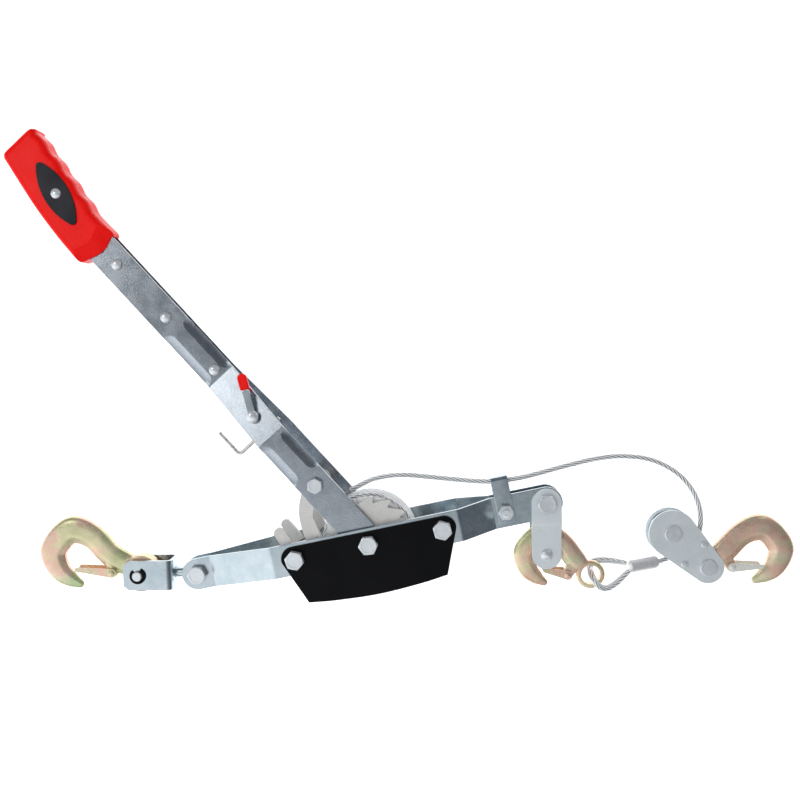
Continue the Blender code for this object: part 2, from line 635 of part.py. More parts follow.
def grip():
    handle = bevelled(prism([grip_outline()], -GRIP_HALF_THICKNESS, GRIP_HALF_THICKNESS), 4.0, 1, 60)
    shank_z = SHANK_INNER_Z + HANDLE_THICKNESS + 0.4
    wide, narrow = HANDLE_HALF_WIDTH + 0.4, TANG_HALF_WIDTH + 0.4
    mouth = TANG_START + 0.5
    slot = [(360, -wide), (mouth, -wide), (mouth, -narrow), (TANG_END + 0.5, -narrow),
            (TANG_END + 0.5, narrow), (mouth, narrow), (mouth, wide), (360, wide)]
    hole = cylinder(3.4, -30, 30, GRIP_RIVET_AT, 10)
    return boolean(handle, [prism([slot], -shank_z, shank_z), hole], "DIFFERENCE")


def grip_inlay():
    """A long almond-shaped panel let into the grip's upper face."""
    half_length, bulge, tilt = 35.5, 58.0, -12.5
    centre_y = math.sqrt(bulge ** 2 - half_length ** 2)
    reach = math.degrees(math.asin(half_length / bulge))
    sides = (arc((0, -centre_y), bulge, 90 - reach * 0.93, 90 + reach * 0.93, 8)
             + arc((0, centre_y), bulge, 270 - reach * 0.93, 270 + reach * 0.93, 8))
    panel = prism([sides], GRIP_HALF_THICKNESS + GAP, GRIP_HALF_THICKNESS + 1.5)
    moved(panel, *GRIP_RIVET_AT, turn_deg=tilt)
    return boolean(panel, [cylinder(3.4, 0, 30, GRIP_RIVET_AT, 10)], "DIFFERENCE")


def build_handle(root):
    handle = pivot("handle_axis", 0, 0, turn_deg=HANDLE_DEG, parent=root)
    plate = handle_plate()
    part(mirrored_in_z(plate), "handle_plate_lower", HANDLE_ZINC, handle)
    part(plate, "handle_plate_upper", HANDLE_ZINC, handle)
    part(grip(), "grip", RED_PLASTIC, handle)
    inlay = grip_inlay()
    part(mirrored_in_z(inlay), "grip_inlay_lower", BLACK_PLASTIC, handle)
    part(inlay, "grip_inlay_upper", BLACK_PLASTIC, handle)
    shank = SHANK_INNER_Z + HANDLE_THICKNESS + GAP
    for i, x in enumerate(SHANK_RIVETS_AT, 1):
        part(rivet((x, 0), 3.0, -shank, shank, 5.2, 2.6), f"handle_rivet_{i}", BOLT_STEEL, handle)
    panel_top = GRIP_HALF_THICKNESS + 1.5 + GAP
    part(rivet(GRIP_RIVET_AT, 3.0, -panel_top, panel_top, 4.8, 2.2), "grip_rivet", BOLT_STEEL, handle)
    yoke = YOKE_INNER_Z + HANDLE_THICKNESS + GAP
    part(rivet((LEVER_AT, 0), 3.0, -22.0, LEVER_Z[1] + GAP, 5.75, 2.6), "lever_rivet", BOLT_STEEL, handle)
    part(hex_bolt((DRIVE_PAWL_AT, 0), 4.0, 13.0, -yoke, yoke, 5.3, 5.3, turn_deg=-10),
         "drive_pawl_bolt", BOLT_STEEL, handle)
    coil = spring(9.9, 0.8, 5, 2.4, (150.0, 0.0), 10.0)
    part(moved(coil, DRIVE_PAWL_AT), "drive_pawl_spring", SPRING_STEEL, handle)
    part(drive_pawl(), "drive_pawl", CAST, pivot("drive_pawl_axis", *polar(DRIVE_PAWL_AT, HANDLE_DEG),
                                                turn_deg=HANDLE_DEG, parent=handle))
    build_lever(handle)
    build_release_rod(handle)


def build_lever(handle):
    """The direction lever on its rivet, with a cap pushed over its end."""
    at = polar(LEVER_AT, HANDLE_DEG)
    holder = pivot("direction_lever_axis", *at, turn_deg=HANDLE_DEG + LEVER_TURN, parent=handle)
    outline = ([(LEVER_REACH - 9, -3.25), (LEVER_REACH - 9, 3.25)] + [(14, 3.25), (10, 3.4)]
               + arc((0, 0), 5.4, 40, 320, 10) + [(10, -3.4), (14, -3.25)])
    lever = prism([outline, circle(3.4, count=10)], *LEVER_Z)
    tongue = prism([[(LEVER_REACH - 11, -2), (LEVER_REACH + 5, -2), (LEVER_REACH + 5, 2), (LEVER_REACH - 11, 2)]],
                   LEVER_Z[0] + 0.4, LEVER_Z[1] - 0.2)
    part(boolean(lever, [tongue], "UNION"), "direction_lever", ZINC, holder)
    cap = bevelled(prism([[(LEVER_REACH - 8, -4.4), (LEVER_REACH + 7.5, -4.4), (LEVER_REACH + 7.5, 4.4),
                           (LEVER_REACH - 8, 4.4)]], LEVER_Z[0] - 1.6, LEVER_Z[1] + 1.8), 1.2, 1)
    pocket = prism([[(LEVER_REACH - 12, -2.4), (LEVER_REACH + 5.4, -2.4), (LEVER_REACH + 5.4, 2.4),
                     (LEVER_REACH - 12, 2.4)]], LEVER_Z[0], LEVER_Z[1] + 0.2)
    part(boolean(cap, [pocket], "DIFFERENCE"), "lever_cap", RED_PLASTIC, holder)


def build_release_rod(handle):
    """An L-shaped rod across the handle, turning in a bar between the two plates."""
    at = polar(ROD_AT, HANDLE_DEG)
    rod_r, reach, arm, bend = 2.0, 39.5, 28.5, 4.0
    elbow = [(-reach + bend - bend * math.sin(a), bend - bend * math.cos(a), 0.0)
             for a in [math.radians(18 * i) for i in range(6)]]
    points = [(13.0, 0.0, 0.0), (0.0, 0.0, 0.0)] + elbow + [(-reach, arm, 0.0)]
    holder = pivot("release_rod_axis", *at, turn_deg=HANDLE_DEG - 90, parent=handle)
    part(tube([(x, y, z) for x, y, z in points], rod_r, 1), "release_rod", BOLT_STEEL, holder)
    bar = prism([[(-6, -7), (6, -7), (6, 7), (-6, 7)]], -19.0, 19.0)
    hole = cylinder(rod_r + 0.5, -20, 20, sides=10)
    hole.data.transform(Matrix.Rotation(math.pi / 2, 4, "Y"))
    bar = boolean(bar, [hole], "DIFFERENCE")
    part(moved(bar, ROD_AT, turn_deg=-90), "rod_guide", ZINC, handle)


# ---------------------------------------------------------------- anchor end

def swivel_eye():
    """An eye on the anchor bolt with a turned stem whose head holds the clevis, along +X."""
    stem = turned([(0.0, CLEVIS_BACK + 8.6), (6.0, CLEVIS_BACK + 8.6), (8.6, CLEVIS_BACK + 6.6),
                   (8.6, CLEVIS_BACK + CLEVIS_THICKNESS + 0.5), (4.9, CLEVIS_BACK + CLEVIS_THICKNESS + 0.5),
                   (4.9, CLEVIS_BACK - 2.0), (5.7, CLEVIS_BACK - 9.0), (5.7, 8.0), (0.0, 8.0)], 14)
    stem.data.transform(Matrix.Rotation(math.pi / 2, 4, "Y"))
    eye = boolean(cylinder(11.5, -5.8, 5.8, sides=18), [stem], "UNION")
    return boolean(eye, [cylinder(BOLT_R + 0.4, -20, 20, sides=14)], "DIFFERENCE")


def clevis():
    """A strap bent into a U, open towards the hook along +X."""
    back, front, half, wall, bend = CLEVIS_BACK, CLEVIS_FRONT, CLEVIS_HALF_HEIGHT, CLEVIS_THICKNESS, 6.0
    outer = ([(front, -half)] + arc((back + bend, -half + bend), bend, 270, 180, 5)
             + arc((back + bend, half - bend), bend, 180, 90, 5) + [(front, half)])
    inner = ([(front, half - wall)] + arc((back + bend, half - bend), bend - wall, 90, 180, 5)
             + arc((back + bend, -half + bend), bend - wall, 180, 270, 5) + [(front, wall - half)])
    strap = side_prism(outer + inner, CLEVIS_HALF_WIDTH)
    cut = 5.0
    plan = [(back - 1, -CLEVIS_HALF_WIDTH - 1), (front - cut, -CLEVIS_HALF_WIDTH - 1),
            (front - cut, -CLEVIS_HALF_WIDTH + 0.1), (front, -CLEVIS_HALF_WIDTH + cut),
            (front + 1, CLEVIS_HALF_WIDTH - cut), (front - cut, CLEVIS_HALF_WIDTH - 0.1),
            (front - cut, CLEVIS_HALF_WIDTH + 1), (back - 1, CLEVIS_HALF_WIDTH + 1)]
    strap = boolean(strap, [prism([plan, circle(4.9, (CLEVIS_PIN, 0), 14)], -30, 30)], "INTERSECT")
    neck = cylinder(5.3, back - 5, back + 5, sides=14)
    neck.data.transform(Matrix.Rotation(math.pi / 2, 4, "Y"))
    return boolean(strap, [neck], "DIFFERENCE")


def clevis_pin():
    half = CLEVIS_HALF_HEIGHT + GAP
    return turned([(0, half + 3.6), (3.9, half + 3.6), (4.5, half + 3.0), (4.5, -half), (7.5, -half),
                   (7.5, -half - 2.2), (6.6, -half - 3.0), (0, -half - 3.0)], 14)


def retaining_clip():
    """A spring clip open on one side, round the pin's end."""
    low = CLEVIS_HALF_HEIGHT + GAP
    outline = arc((0, 0), 7.8, 125, 415, 14) + arc((0, 0), 4.85, 415, 125, 12)
    return prism([outline], low, low + 1.3)


def build_anchor_end(root):
    swivel = pivot("swivel_axis", -FRAME_END_X, 0, turn_deg=ANCHOR_DEG, parent=root)
    part(swivel_eye(), "swivel_eye", ZINC, swivel)
    spin = pivot("clevis_axis", -FRAME_END_X, 0, turn_deg=ANCHOR_DEG, parent=swivel)
    part(clevis(), "swivel_clevis", ZINC, spin)
    part(moved(clevis_pin(), CLEVIS_PIN), "clevis_pin", BOLT_STEEL, spin)
    part(moved(retaining_clip(), CLEVIS_PIN, turn_deg=-ANCHOR_DEG), "retaining_clip", BLACK_PAINT, spin)
    eye = polar(CLEVIS_PIN, ANCHOR_DEG, (-FRAME_END_X, 0))
    latch_at = (27.6, 6.4)
    hold = pivot("anchor_hook_axis", *eye, turn_deg=ANCHOR_HOOK_DEG, parent=spin)
    part(forged_hook(62.8, 1.0, 18.0, 6.6, 6.8, latch_at), "anchor_hook", FORGED, hold)
    build_latch(hold, eye, ANCHOR_HOOK_DEG, latch_at, 34.5, 8.0, "anchor_latch")


def build_latch(hook, eye, hook_deg, at, length, lean_deg, name, mirror=False, z=0.0, outer=6.9):
    """A keeper on a hook's boss; it leans from the hook's axis towards the mouth."""
    side = -1 if mirror else 1
    centre = Vector(polar(1, hook_deg)) * at[0] + Vector(polar(1, hook_deg + 90)) * at[1]
    place = (eye[0] + centre.x, eye[1] + centre.y)
    holder = pivot(name + "_axis", *place, z=z, turn_deg=hook_deg + side * lean_deg, parent=hook)
    part(hook_latch(length, mirror, outer), name, FORGED, holder)


# ---------------------------------------------------------------- nose: link, cable hook, rope end

def link_plate():
    """The upper link plate, along +X from the nose bolt, set in towards the cable hook."""
    wide = FRAME_END_INNER_Z + FRAME_THICKNESS + GAP
    close = 6.6
    path = [(-LINK_END_R - SPARE, wide), (LINK_JOGGLE[0], wide),
            (LINK_JOGGLE[1], close), (LINK_LENGTH + LINK_END_R + SPARE, close)]
    outline = path + [(x, z + 3.0) for x, z in reversed(path)]
    strip = side_prism(outline, LINK_END_R + SPARE)
    plan = [stadium(-LINK_END_R, LINK_LENGTH + LINK_END_R, LINK_END_R, 8), circle(BOLT_R + 0.5),
            circle(4.9, (LINK_LENGTH, 0))]
    return boolean(strip, [prism(plan, 0, 30)], "INTERSECT")


def build_link(root):
    nose = (FRAME_END_X, 0.0)
    link = pivot("link_axis", *nose, turn_deg=LINK_DEG, parent=root)
    plate = link_plate()
    part(mirrored_in_z(plate), "link_lower", ZINC, link)
    part(plate, "link_upper", ZINC, link)
    part(rivet((LINK_LENGTH, 0), 4.5, -9.9, 9.9, 5.8, 3.4), "link_pin", BOLT_STEEL, link)
    pin = polar(LINK_LENGTH, LINK_DEG, nose)
    swing = pivot("cable_hook_axis", *pin, parent=link)
    hook = forged_hook(42.8, 0.86, 13.6, 9.2, 3.9, (20.8, 7.2))
    offset = (CABLE_HOOK_EYE[0] - pin[0], CABLE_HOOK_EYE[1] - pin[1])
    part(moved(hook, *offset, turn_deg=CABLE_HOOK_DEG), "cable_hook", FORGED, swing)
    build_latch(swing, CABLE_HOOK_EYE, CABLE_HOOK_DEG, (20.8, 7.2), 22.0, 8.0, "cable_latch",
                outer=6.35)
    rope_eye = tube([(x - pin[0], y - pin[1], z) for x, y, z in smooth_path(THIMBLE_ROUTE, 5.0)], 3.2, 1)
    part(rope_eye, "thimble", ROPE_STEEL, swing)
    part(ferrule(pin), "ferrule", FERRULE_METAL, swing)


def ferrule(origin):
    """A pressed oval sleeve, between its two ends."""
    a, b = (Vector(p) - Vector((*origin, 0)) for p in FERRULE_ENDS)
    length = (b - a).length
    oval = [(0, -length / 2), (5.0, -length / 2), (6.2, -length / 2 + 1.2), (6.2, length / 2 - 2.2),
            (4.6, length / 2), (0, length / 2)]
    sleeve = turned([(r, z) for r, z in reversed(oval)], 14)
    sleeve.data.transform(Matrix.Scale(0.72, 4, (0, 1, 0)))
    aim = (b - a).normalized().to_track_quat("Z", "Y").to_matrix().to_4x4()
    sleeve.data.transform(Matrix.Translation((a + b) / 2 * MM) @ aim)
    return sleeve


# ---------------------------------------------------------------- pulley block

def build_block(root):
    pin = (BLOCK_LENGTH, 0.0)
    block = pivot("block_axis", *SHEAVE_AT, z=BLOCK_Z, turn_deg=BLOCK_DEG, parent=root)
    rivets = [polar(32.0, 24.8), polar(32.0, -24.8)]
    plan = [hull_of_circles((0, 0), BLOCK_BIG_R, pin, BLOCK_SMALL_R, 12), circle(5.3),
            circle(5.3, pin)] + [circle(2.85, at, 10) for at in rivets]
    plate = prism(plan, BLOCK_INNER_Z, BLOCK_INNER_Z + BLOCK_THICKNESS)
    part(mirrored_in_z(plate), "block_plate_lower", ZINC, block)
    part(plate, "block_plate_upper", ZINC, block)
    outside = BLOCK_INNER_Z + BLOCK_THICKNESS + GAP
    part(flat_pin(4.9, outside, 8.2, 2.1), "sheave_axle", BOLT_STEEL, block)
    part(moved(flat_pin(4.9, outside, 8.2, 2.1), *pin), "block_hook_pin", BOLT_STEEL, block)
    for i, at in enumerate(rivets, 1):
        part(moved(flat_pin(2.5, outside, 3.4, 1.2), *at), f"block_rivet_{i}", BOLT_STEEL, block)
    wheel = [(SHEAVE_R, 6.0), (SHEAVE_R, 4.6)]
    wheel += [(SHEAVE_R - 1.0 - 3.6 * math.cos(math.radians(a)), 3.6 * math.sin(math.radians(a)))
              for a in (75, 25, -25, -75)]
    wheel += [(SHEAVE_R, -4.6), (SHEAVE_R, -6.0), (5.3, -6.0), (5.3, 6.0)]
    spin = pivot("sheave_axis", *SHEAVE_AT, z=BLOCK_Z, turn_deg=BLOCK_DEG, parent=block)
    part(turned(wheel, 24), "sheave", ZINC, spin)
    eye = polar(BLOCK_LENGTH, BLOCK_DEG, SHEAVE_AT)
    latch_at = (23.2, -6.4)
    hold = pivot("load_hook_axis", *eye, z=BLOCK_Z, turn_deg=LOAD_HOOK_DEG, parent=block)
    part(forged_hook(48.2, 0.97, 12.4, 5.9, 4.6, latch_at, mirror=True), "load_hook", FORGED, hold)
    build_latch(hold, eye, LOAD_HOOK_DEG, latch_at, 28.5, 12.0, "load_latch", True, BLOCK_Z)


def flat_pin(radius, half, head_r, head_h):
    """A pin with a low rounded head at each end."""
    top = [(0.0, half + head_h), (head_r - 1.4, half + head_h), (head_r, half + head_h * 0.45), (head_r, half)]
    return turned(top + [(radius, half), (radius, -half)] + [(r, -z) for r, z in reversed(top)], 14)


# ---------------------------------------------------------------- cable

def build_cable(root):
    path = smooth_path(CABLE_ROUTE, 10.0)
    part(tube(path, CABLE_R, 1), "cable", ROPE_STEEL, root)


frame_root = build_frame()
build_drum(frame_root)
build_stop_pawls(frame_root)
build_handle(frame_root)
build_anchor_end(frame_root)
build_link(frame_root)
build_block(frame_root)
build_cable(frame_root)
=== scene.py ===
"""Looks of the come along winch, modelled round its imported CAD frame.

Shapes are drawn in millimetres and turned into metres by MM. World frame: +Z up, the origin on the drum's
axis at the level the winch lies on, +X from the anchor hook to the pulley block, +Y towards the grip.
Heights written as z are measured from the winch's middle plane, MID_Z above the ground.
"""
import math

import bmesh
import bpy
from mathutils import Matrix, Vector


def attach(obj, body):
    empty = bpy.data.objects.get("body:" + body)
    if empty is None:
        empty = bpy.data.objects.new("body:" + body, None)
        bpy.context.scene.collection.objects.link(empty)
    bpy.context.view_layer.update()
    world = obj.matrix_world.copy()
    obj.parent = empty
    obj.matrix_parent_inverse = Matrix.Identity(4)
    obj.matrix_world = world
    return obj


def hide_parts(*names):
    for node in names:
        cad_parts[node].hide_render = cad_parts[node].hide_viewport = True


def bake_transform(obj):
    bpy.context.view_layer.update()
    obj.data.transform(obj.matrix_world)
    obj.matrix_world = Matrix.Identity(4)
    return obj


MM = 0.001
WELD = 1e-6
MID_Z = 40.0
CLEARANCE = 0.3

# frame
END_X, SIDE_X = 170.0, 70.0
FRAME_TIP, FRAME_HALF_WIDTH, FRAME_THICKNESS = 15.5, 15.0, 3.0
FRAME_INNER_Z, FRAME_END_INNER_Z = 27.0, 6.3
FRAME_BENDS = ((-155.0, -92.0), (87.0, 118.0))
COVER_THICKNESS, COVER_LIP = 1.5, 5.0
CLIP_X = 131.0

# drum
TEETH, TOOTH_FACE_DEG, TIP_R, ROOT_R, TOOTH_LAND_DEG = 16, 163.0, 43.0, 37.0, 4.0
WHEEL_Z = (17.0, 22.6)
WINDING_R, WINDING_Z, CORE_R = 45.0, 16.4, 18.0
STOP_PIVOT = (-SIDE_X, 0.0)

# handle, along its own axis
HANDLE_DEG, HANDLE_HALF_WIDTH, HANDLE_THICKNESS = 120.4, 15.25, 2.8
YOKE_INNER_Z, SHANK_INNER_Z, YOKE_BEND = 23.6, 4.7, (134.0, 209.0)
TANG_START, TANG_END, TANG_HALF_WIDTH = 384.0, 446.0, 9.0
DRIVE_PAWL_AT, ROD_AT, LEVER_AT = 73.5, 143.5, 159.8
SHANK_RIVETS_AT = (217.8, 285.1, 352.7)
GRIP_RIVET_AT = (436.0, -5.3)
GRIP_HALF = 14.5
LEVER_Z, LEVER_TURN, LEVER_REACH = (21.8, 23.8), -27.8, 34.0

# anchor end, link, block
ANCHOR_DEG, CLEVIS_BACK, CLEVIS_PIN, CLEVIS_FRONT = 168.9, 24.0, 57.0, 71.3
CLEVIS_HALF_WIDTH, CLEVIS_HALF_HEIGHT, CLEVIS_THICKNESS = 14.2, 14.0, 3.0
ANCHOR_HOOK_DEG = 154.5
LINK_DEG, LINK_LENGTH, LINK_END_R = -101.0, 49.5, 14.0
CABLE_HOOK_EYE, CABLE_HOOK_DEG = (197.8, -77.6), 148.6
BLOCK_Z, SHEAVE_AT, SHEAVE_R, BLOCK_DEG, BLOCK_LENGTH = -28.5, (286.0, -61.0), 20.0, -55.8, 47.9
BLOCK_BIG_R, BLOCK_SMALL_R, BLOCK_INNER_Z, BLOCK_THICKNESS = 23.0, 15.5, 6.6, 2.2
LOAD_HOOK_DEG = 2.5

# rope
ROPE_R = 2.5
ROPE_LAY = 36.0
STRANDS = 6

# A forged hook's centre line round its bowl: (along, across, half width), from the bowl's centre
HOOK_SPINE = (
    (-29.9, -8.9, 11.6), (-9.0, -22.3, 12.0), (8.8, -25.5, 13.4), (19.3, -18.7, 13.0), (26.6, -2.2, 12.8),
    (24.0, 8.2, 12.0), (15.6, 18.6, 10.2), (5.0, 23.6, 8.0), (-2.5, 25.6, 5.2), (-7.5, 26.6, 3.4),
    (-9.0, 26.9, 1.4),
)
HOOK_FLATNESS = 0.5

# The cable from the drum, over the clip and round the sheave: x, y, z
CABLE_ROUTE = (
    (-9.5, 48.2, 0.0), (1.4, 51.4, 0.0), (13.0, 54.3, 0.0), (26.8, 54.6, 0.0), (40.1, 53.0, 0.0),
    (53.2, 49.8, 0.0), (68.6, 45.0, 0.0), (87.8, 38.9, 0.0), (100.6, 34.9, 0.0), (113.4, 31.3, 0.0),
    (124.1, 29.0, 0.0), (133.2, 27.9, 0.0), (144.1, 27.1, 0.0), (157.7, 27.0, -0.3), (174.2, 27.7, -1.1),
    (190.4, 28.4, -2.4), (214.9, 28.8, -6.3), (229.1, 28.3, -8.8), (243.8, 26.6, -11.5),
    (257.9, 23.2, -14.2), (271.5, 18.4, -17.0), (285.3, 10.8, -20.0), (298.1, 0.0, -23.0),
    (307.8, -12.0, -25.6), (314.3, -25.1, -27.6), (317.5, -38.1, -28.5), (317.6, -50.0, -28.5),
    (315.2, -61.0, -28.5), (309.8, -71.5, -28.5), (300.8, -80.0, -28.5), (289.5, -84.6, -28.3),
    (278.0, -85.6, -25.5), (266.6, -84.9, -19.0),
)
# The rope eye through the cable hook's eye: x, y, z
THIMBLE_ROUTE = (
    (234.9, -84.4, -7.2), (227.0, -87.8, -2.4), (218.0, -91.0, 3.0), (209.5, -92.0, 7.4),
    (203.0, -88.6, 9.0), (199.7, -82.2, 7.9), (198.6, -77.6, 0.0), (199.7, -73.0, -7.9),
    (203.0, -69.4, -10.2), (209.5, -69.6, -11.6), (218.0, -71.6, -12.4), (227.0, -74.6, -11.8),
    (234.9, -77.4, -9.8),
)
FERRULE_ENDS = ((237.4, -81.1, -9.2), (266.0, -84.7, -18.8))

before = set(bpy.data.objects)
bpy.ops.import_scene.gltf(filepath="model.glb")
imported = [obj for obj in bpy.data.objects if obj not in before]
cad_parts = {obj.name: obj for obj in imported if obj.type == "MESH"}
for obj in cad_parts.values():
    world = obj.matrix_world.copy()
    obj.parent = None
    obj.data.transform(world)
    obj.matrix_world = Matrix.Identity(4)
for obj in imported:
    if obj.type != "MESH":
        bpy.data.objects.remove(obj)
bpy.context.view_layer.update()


# ---------------------------------------------------------------- shape helpers

def polar(radius, degrees, centre=(0.0, 0.0)):
    """The point at a radius and an angle from a centre."""
    angle = math.radians(degrees)
    return (centre[0] + radius * math.cos(angle), centre[1] + radius * math.sin(angle))


def arc(centre, radius, start, end, count):
    """Points along an arc, from angle start to angle end."""
    return [polar(radius, start + (end - start) * i / (count - 1), centre) for i in range(count)]


def circle(radius, centre=(0.0, 0.0), count=48):
    return [polar(radius, 360.0 * i / count, centre) for i in range(count)]


def stadium(start_x, end_x, half_width, count=25):
    """A strip along X with round ends."""
    return (arc((end_x - half_width, 0), half_width, -90, 90, count)
            + arc((start_x + half_width, 0), half_width, 90, 270, count))


def hull_of_circles(near, near_r, far, far_r, count=24):
    """The outline of two circles and their outer tangents."""
    run = Vector(far) - Vector(near)
    heading = math.degrees(math.atan2(run.y, run.x))
    lean = math.degrees(math.acos((near_r - far_r) / run.length))
    return (arc(far, far_r, heading - lean, heading + lean, count)
            + arc(near, near_r, heading + lean, heading - lean + 360, count))


def new_object(name, mesh):
    obj = bpy.data.objects.new(name, mesh)
    bpy.context.scene.collection.objects.link(obj)
    return obj


def baked(obj):
    """Replace an object by its evaluated mesh, welded, with no modifiers left."""
    graph = bpy.context.evaluated_depsgraph_get()
    mesh = bpy.data.meshes.new_from_object(obj.evaluated_get(graph))
    bm = bmesh.new()
    bm.from_mesh(mesh)
    bmesh.ops.remove_doubles(bm, verts=bm.verts, dist=WELD)
    bm.to_mesh(mesh)
    bm.free()
    made = new_object(obj.name + "_mesh", mesh)
    made.matrix_world = obj.matrix_world.copy()
    bpy.data.objects.remove(obj, do_unlink=True)
    return made


def prism(loops, low, high):
    """Flat outlines, the later ones holes, extruded from z = low to z = high."""
    curve = bpy.data.curves.new("outline", "CURVE")
    curve.dimensions = "2D"
    curve.fill_mode = "BOTH"
    curve.extrude = (high - low) / 2 * MM
    for loop in loops:
        spline = curve.splines.new("POLY")
        spline.points.add(len(loop) - 1)
        spline.use_cyclic_u = True
        for point, (x, y) in zip(spline.points, loop):
            point.co = (x * MM, y * MM, 0, 1)
    made = baked(new_object("outline", curve))
    made.data.transform(Matrix.Translation((0, 0, (high + low) / 2 * MM)))
    return made


def side_prism(loop, half_width):
    """An outline drawn in x and z, extruded across y."""
    made = prism([loop], -half_width, half_width)
    made.data.transform(Matrix.Rotation(math.radians(90), 4, "X"))
    return made


def cylinder(radius, low, high, centre=(0.0, 0.0), sides=48, turn=0.0):
    """An upright round bar, or a regular prism where sides is small."""
    mesh = bpy.data.meshes.new("cylinder")
    bm = bmesh.new()
    middle = Matrix.Translation((centre[0] * MM, centre[1] * MM, (low + high) / 2 * MM))
    bmesh.ops.create_cone(bm, cap_ends=True, segments=sides, radius1=radius * MM, radius2=radius * MM,
                          depth=(high - low) * MM, matrix=middle @ Matrix.Rotation(turn, 4, "Z"))
    bm.to_mesh(mesh)
    bm.free()
    return new_object("cylinder", mesh)


def turned(profile, sides=64):
    """A profile of (radius, z) from top to bottom on the outer side, turned about Z."""
    mesh = bpy.data.meshes.new("profile")
    bm = bmesh.new()
    verts = [bm.verts.new((radius * MM, 0, z * MM)) for radius, z in profile]
    for a, b in zip(verts, verts[1:]):
        bm.edges.new((a, b))
    if profile[0][0] > 0:
        bm.edges.new((verts[-1], verts[0]))
    bm.to_mesh(mesh)
    bm.free()
    obj = new_object("profile", mesh)
    screw = obj.modifiers.new("Screw", "SCREW")
    screw.steps = screw.render_steps = sides
    screw.use_merge_vertices = True
    screw.merge_threshold = 0.00001
    return baked(obj)


def loft(rings):
    """A closed skin over rings of points (x, y, z), all with the same count."""
    mesh = bpy.data.meshes.new("loft")
    bm = bmesh.new()
    rows = [[bm.verts.new((x * MM, y * MM, z * MM)) for x, y, z in ring] for ring in rings]
    count = len(rings[0])
    for low, high in zip(rows, rows[1:]):
        for i in range(count):
            j = (i + 1) % count
            bm.faces.new((low[i], low[j], high[j], high[i]))
    bm.faces.new(rows[0][::-1])
    bm.faces.new(rows[-1])
    bmesh.ops.recalc_face_normals(bm, faces=bm.faces)
    bm.to_mesh(mesh)
    bm.free()
    return new_object("loft", mesh)


def frames_along(path):
    """At each point of a path: (point, side, up), carried along without twist."""
    points = [Vector(p) for p in path]
    tangents = [(points[min(i + 1, len(points) - 1)] - points[max(i - 1, 0)]).normalized()
                for i in range(len(points))]
    side = tangents[0].orthogonal().normalized()
    made = []
    for point, tangent in zip(points, tangents):
        side = (side - tangent * side.dot(tangent)).normalized()
        made.append((point, side, tangent.cross(side)))
    return made


def swept(path, sections):
    """A bar along a path; sections gives, for each point, a loop of (side, up) offsets."""
    return loft([[tuple(p + s * a + u * b) for a, b in section]
                 for (p, s, u), section in zip(frames_along(path), sections)])


def tube(points, radius, sides=20):
    """A round bar along a path."""
    return swept(points, [circle(radius, count=sides)] * len(points))


def smooth_path(points, step):
    """A smooth curve through the points, read off about every step along it."""
    nodes = [Vector(p) for p in points]
    nodes = [2 * nodes[0] - nodes[1]] + nodes + [2 * nodes[-1] - nodes[-2]]
    path = []
    for a, b, c, d in zip(nodes, nodes[1:], nodes[2:], nodes[3:]):
        count = max(1, round((c - b).length / step))
        for i in range(count):
            t = i / count
            path.append(0.5 * (2 * b + (c - a) * t + (2 * a - 5 * b + 4 * c - d) * t * t
                               + (3 * b - a - 3 * c + d) * t ** 3))
    return [tuple(p) for p in path] + [tuple(nodes[-2])]


def evened(path, step):
    """The same line with its points a fixed step apart, ends kept."""
    points = [Vector(p) for p in path]
    travelled = [0.0]
    for a, b in zip(points, points[1:]):
        travelled.append(travelled[-1] + (b - a).length)
    count = max(2, round(travelled[-1] / step))
    made, k = [], 0
    for i in range(count + 1):
        target = travelled[-1] * i / count
        while k < len(points) - 2 and travelled[k + 1] < target:
            k += 1
        t = (target - travelled[k]) / (travelled[k + 1] - travelled[k])
        made.append(tuple(points[k].lerp(points[k + 1], t)))
    return made


def boolean(target, tools, operation):
    """Cut, join or intersect a target with tools, which are used up."""
    for tool in tools:
        change = target.modifiers.new("Boolean", "BOOLEAN")
        change.operation = operation
        change.object = tool
        change.solver = "EXACT"
    made = baked(target)
    for tool in tools:
        bpy.data.objects.remove(tool, do_unlink=True)
    return made


def bevelled(obj, width, segments=3, angle=30):
    """Round an object's sharp edges, after joining the flat faces that a fill left in slivers."""
    bm = bmesh.new()
    bm.from_mesh(obj.data)
    bmesh.ops.dissolve_limit(bm, angle_limit=math.radians(0.3), verts=bm.verts, edges=bm.edges)
    bm.to_mesh(obj.data)
    bm.free()
    bevel = obj.modifiers.new("Bevel", "BEVEL")
    bevel.width = width * MM
    bevel.segments = segments
    bevel.limit_method = "ANGLE"
    bevel.angle_limit = math.radians(angle)
    return baked(obj)


def moved(obj, x=0.0, y=0.0, z=0.0, turn_deg=0.0):
    """Turn an object's shape about Z, then shift it."""
    turn = Matrix.Rotation(math.radians(turn_deg), 4, "Z")
    obj.data.transform(Matrix.Translation((x * MM, y * MM, z * MM)) @ turn)
    return obj


def mirrored_in_z(obj):
    """A copy of an object, mirrored in the winch's middle plane."""
    copy = new_object("copy", obj.data.copy())
    copy.data.transform(Matrix.Scale(-1, 4, (0, 0, 1)))
    copy.data.flip_normals()
    return copy


def filleted(path, radius, count=7):
    """An open line of (x, z) with its corners rounded."""
    points = [Vector(p) for p in path]
    made = [tuple(points[0])]
    for a, b, c in zip(points, points[1:], points[2:]):
        into, out = (b - a).normalized(), (c - b).normalized()
        half = into.angle(out) / 2
        reach = radius * math.tan(half)
        first, last = b - into * reach, b + out * reach
        for i in range(count):
            t = i / (count - 1)
            made.append(tuple(first.lerp(b, t).lerp(b.lerp(last, t), t)))
    return made + [tuple(points[-1])]


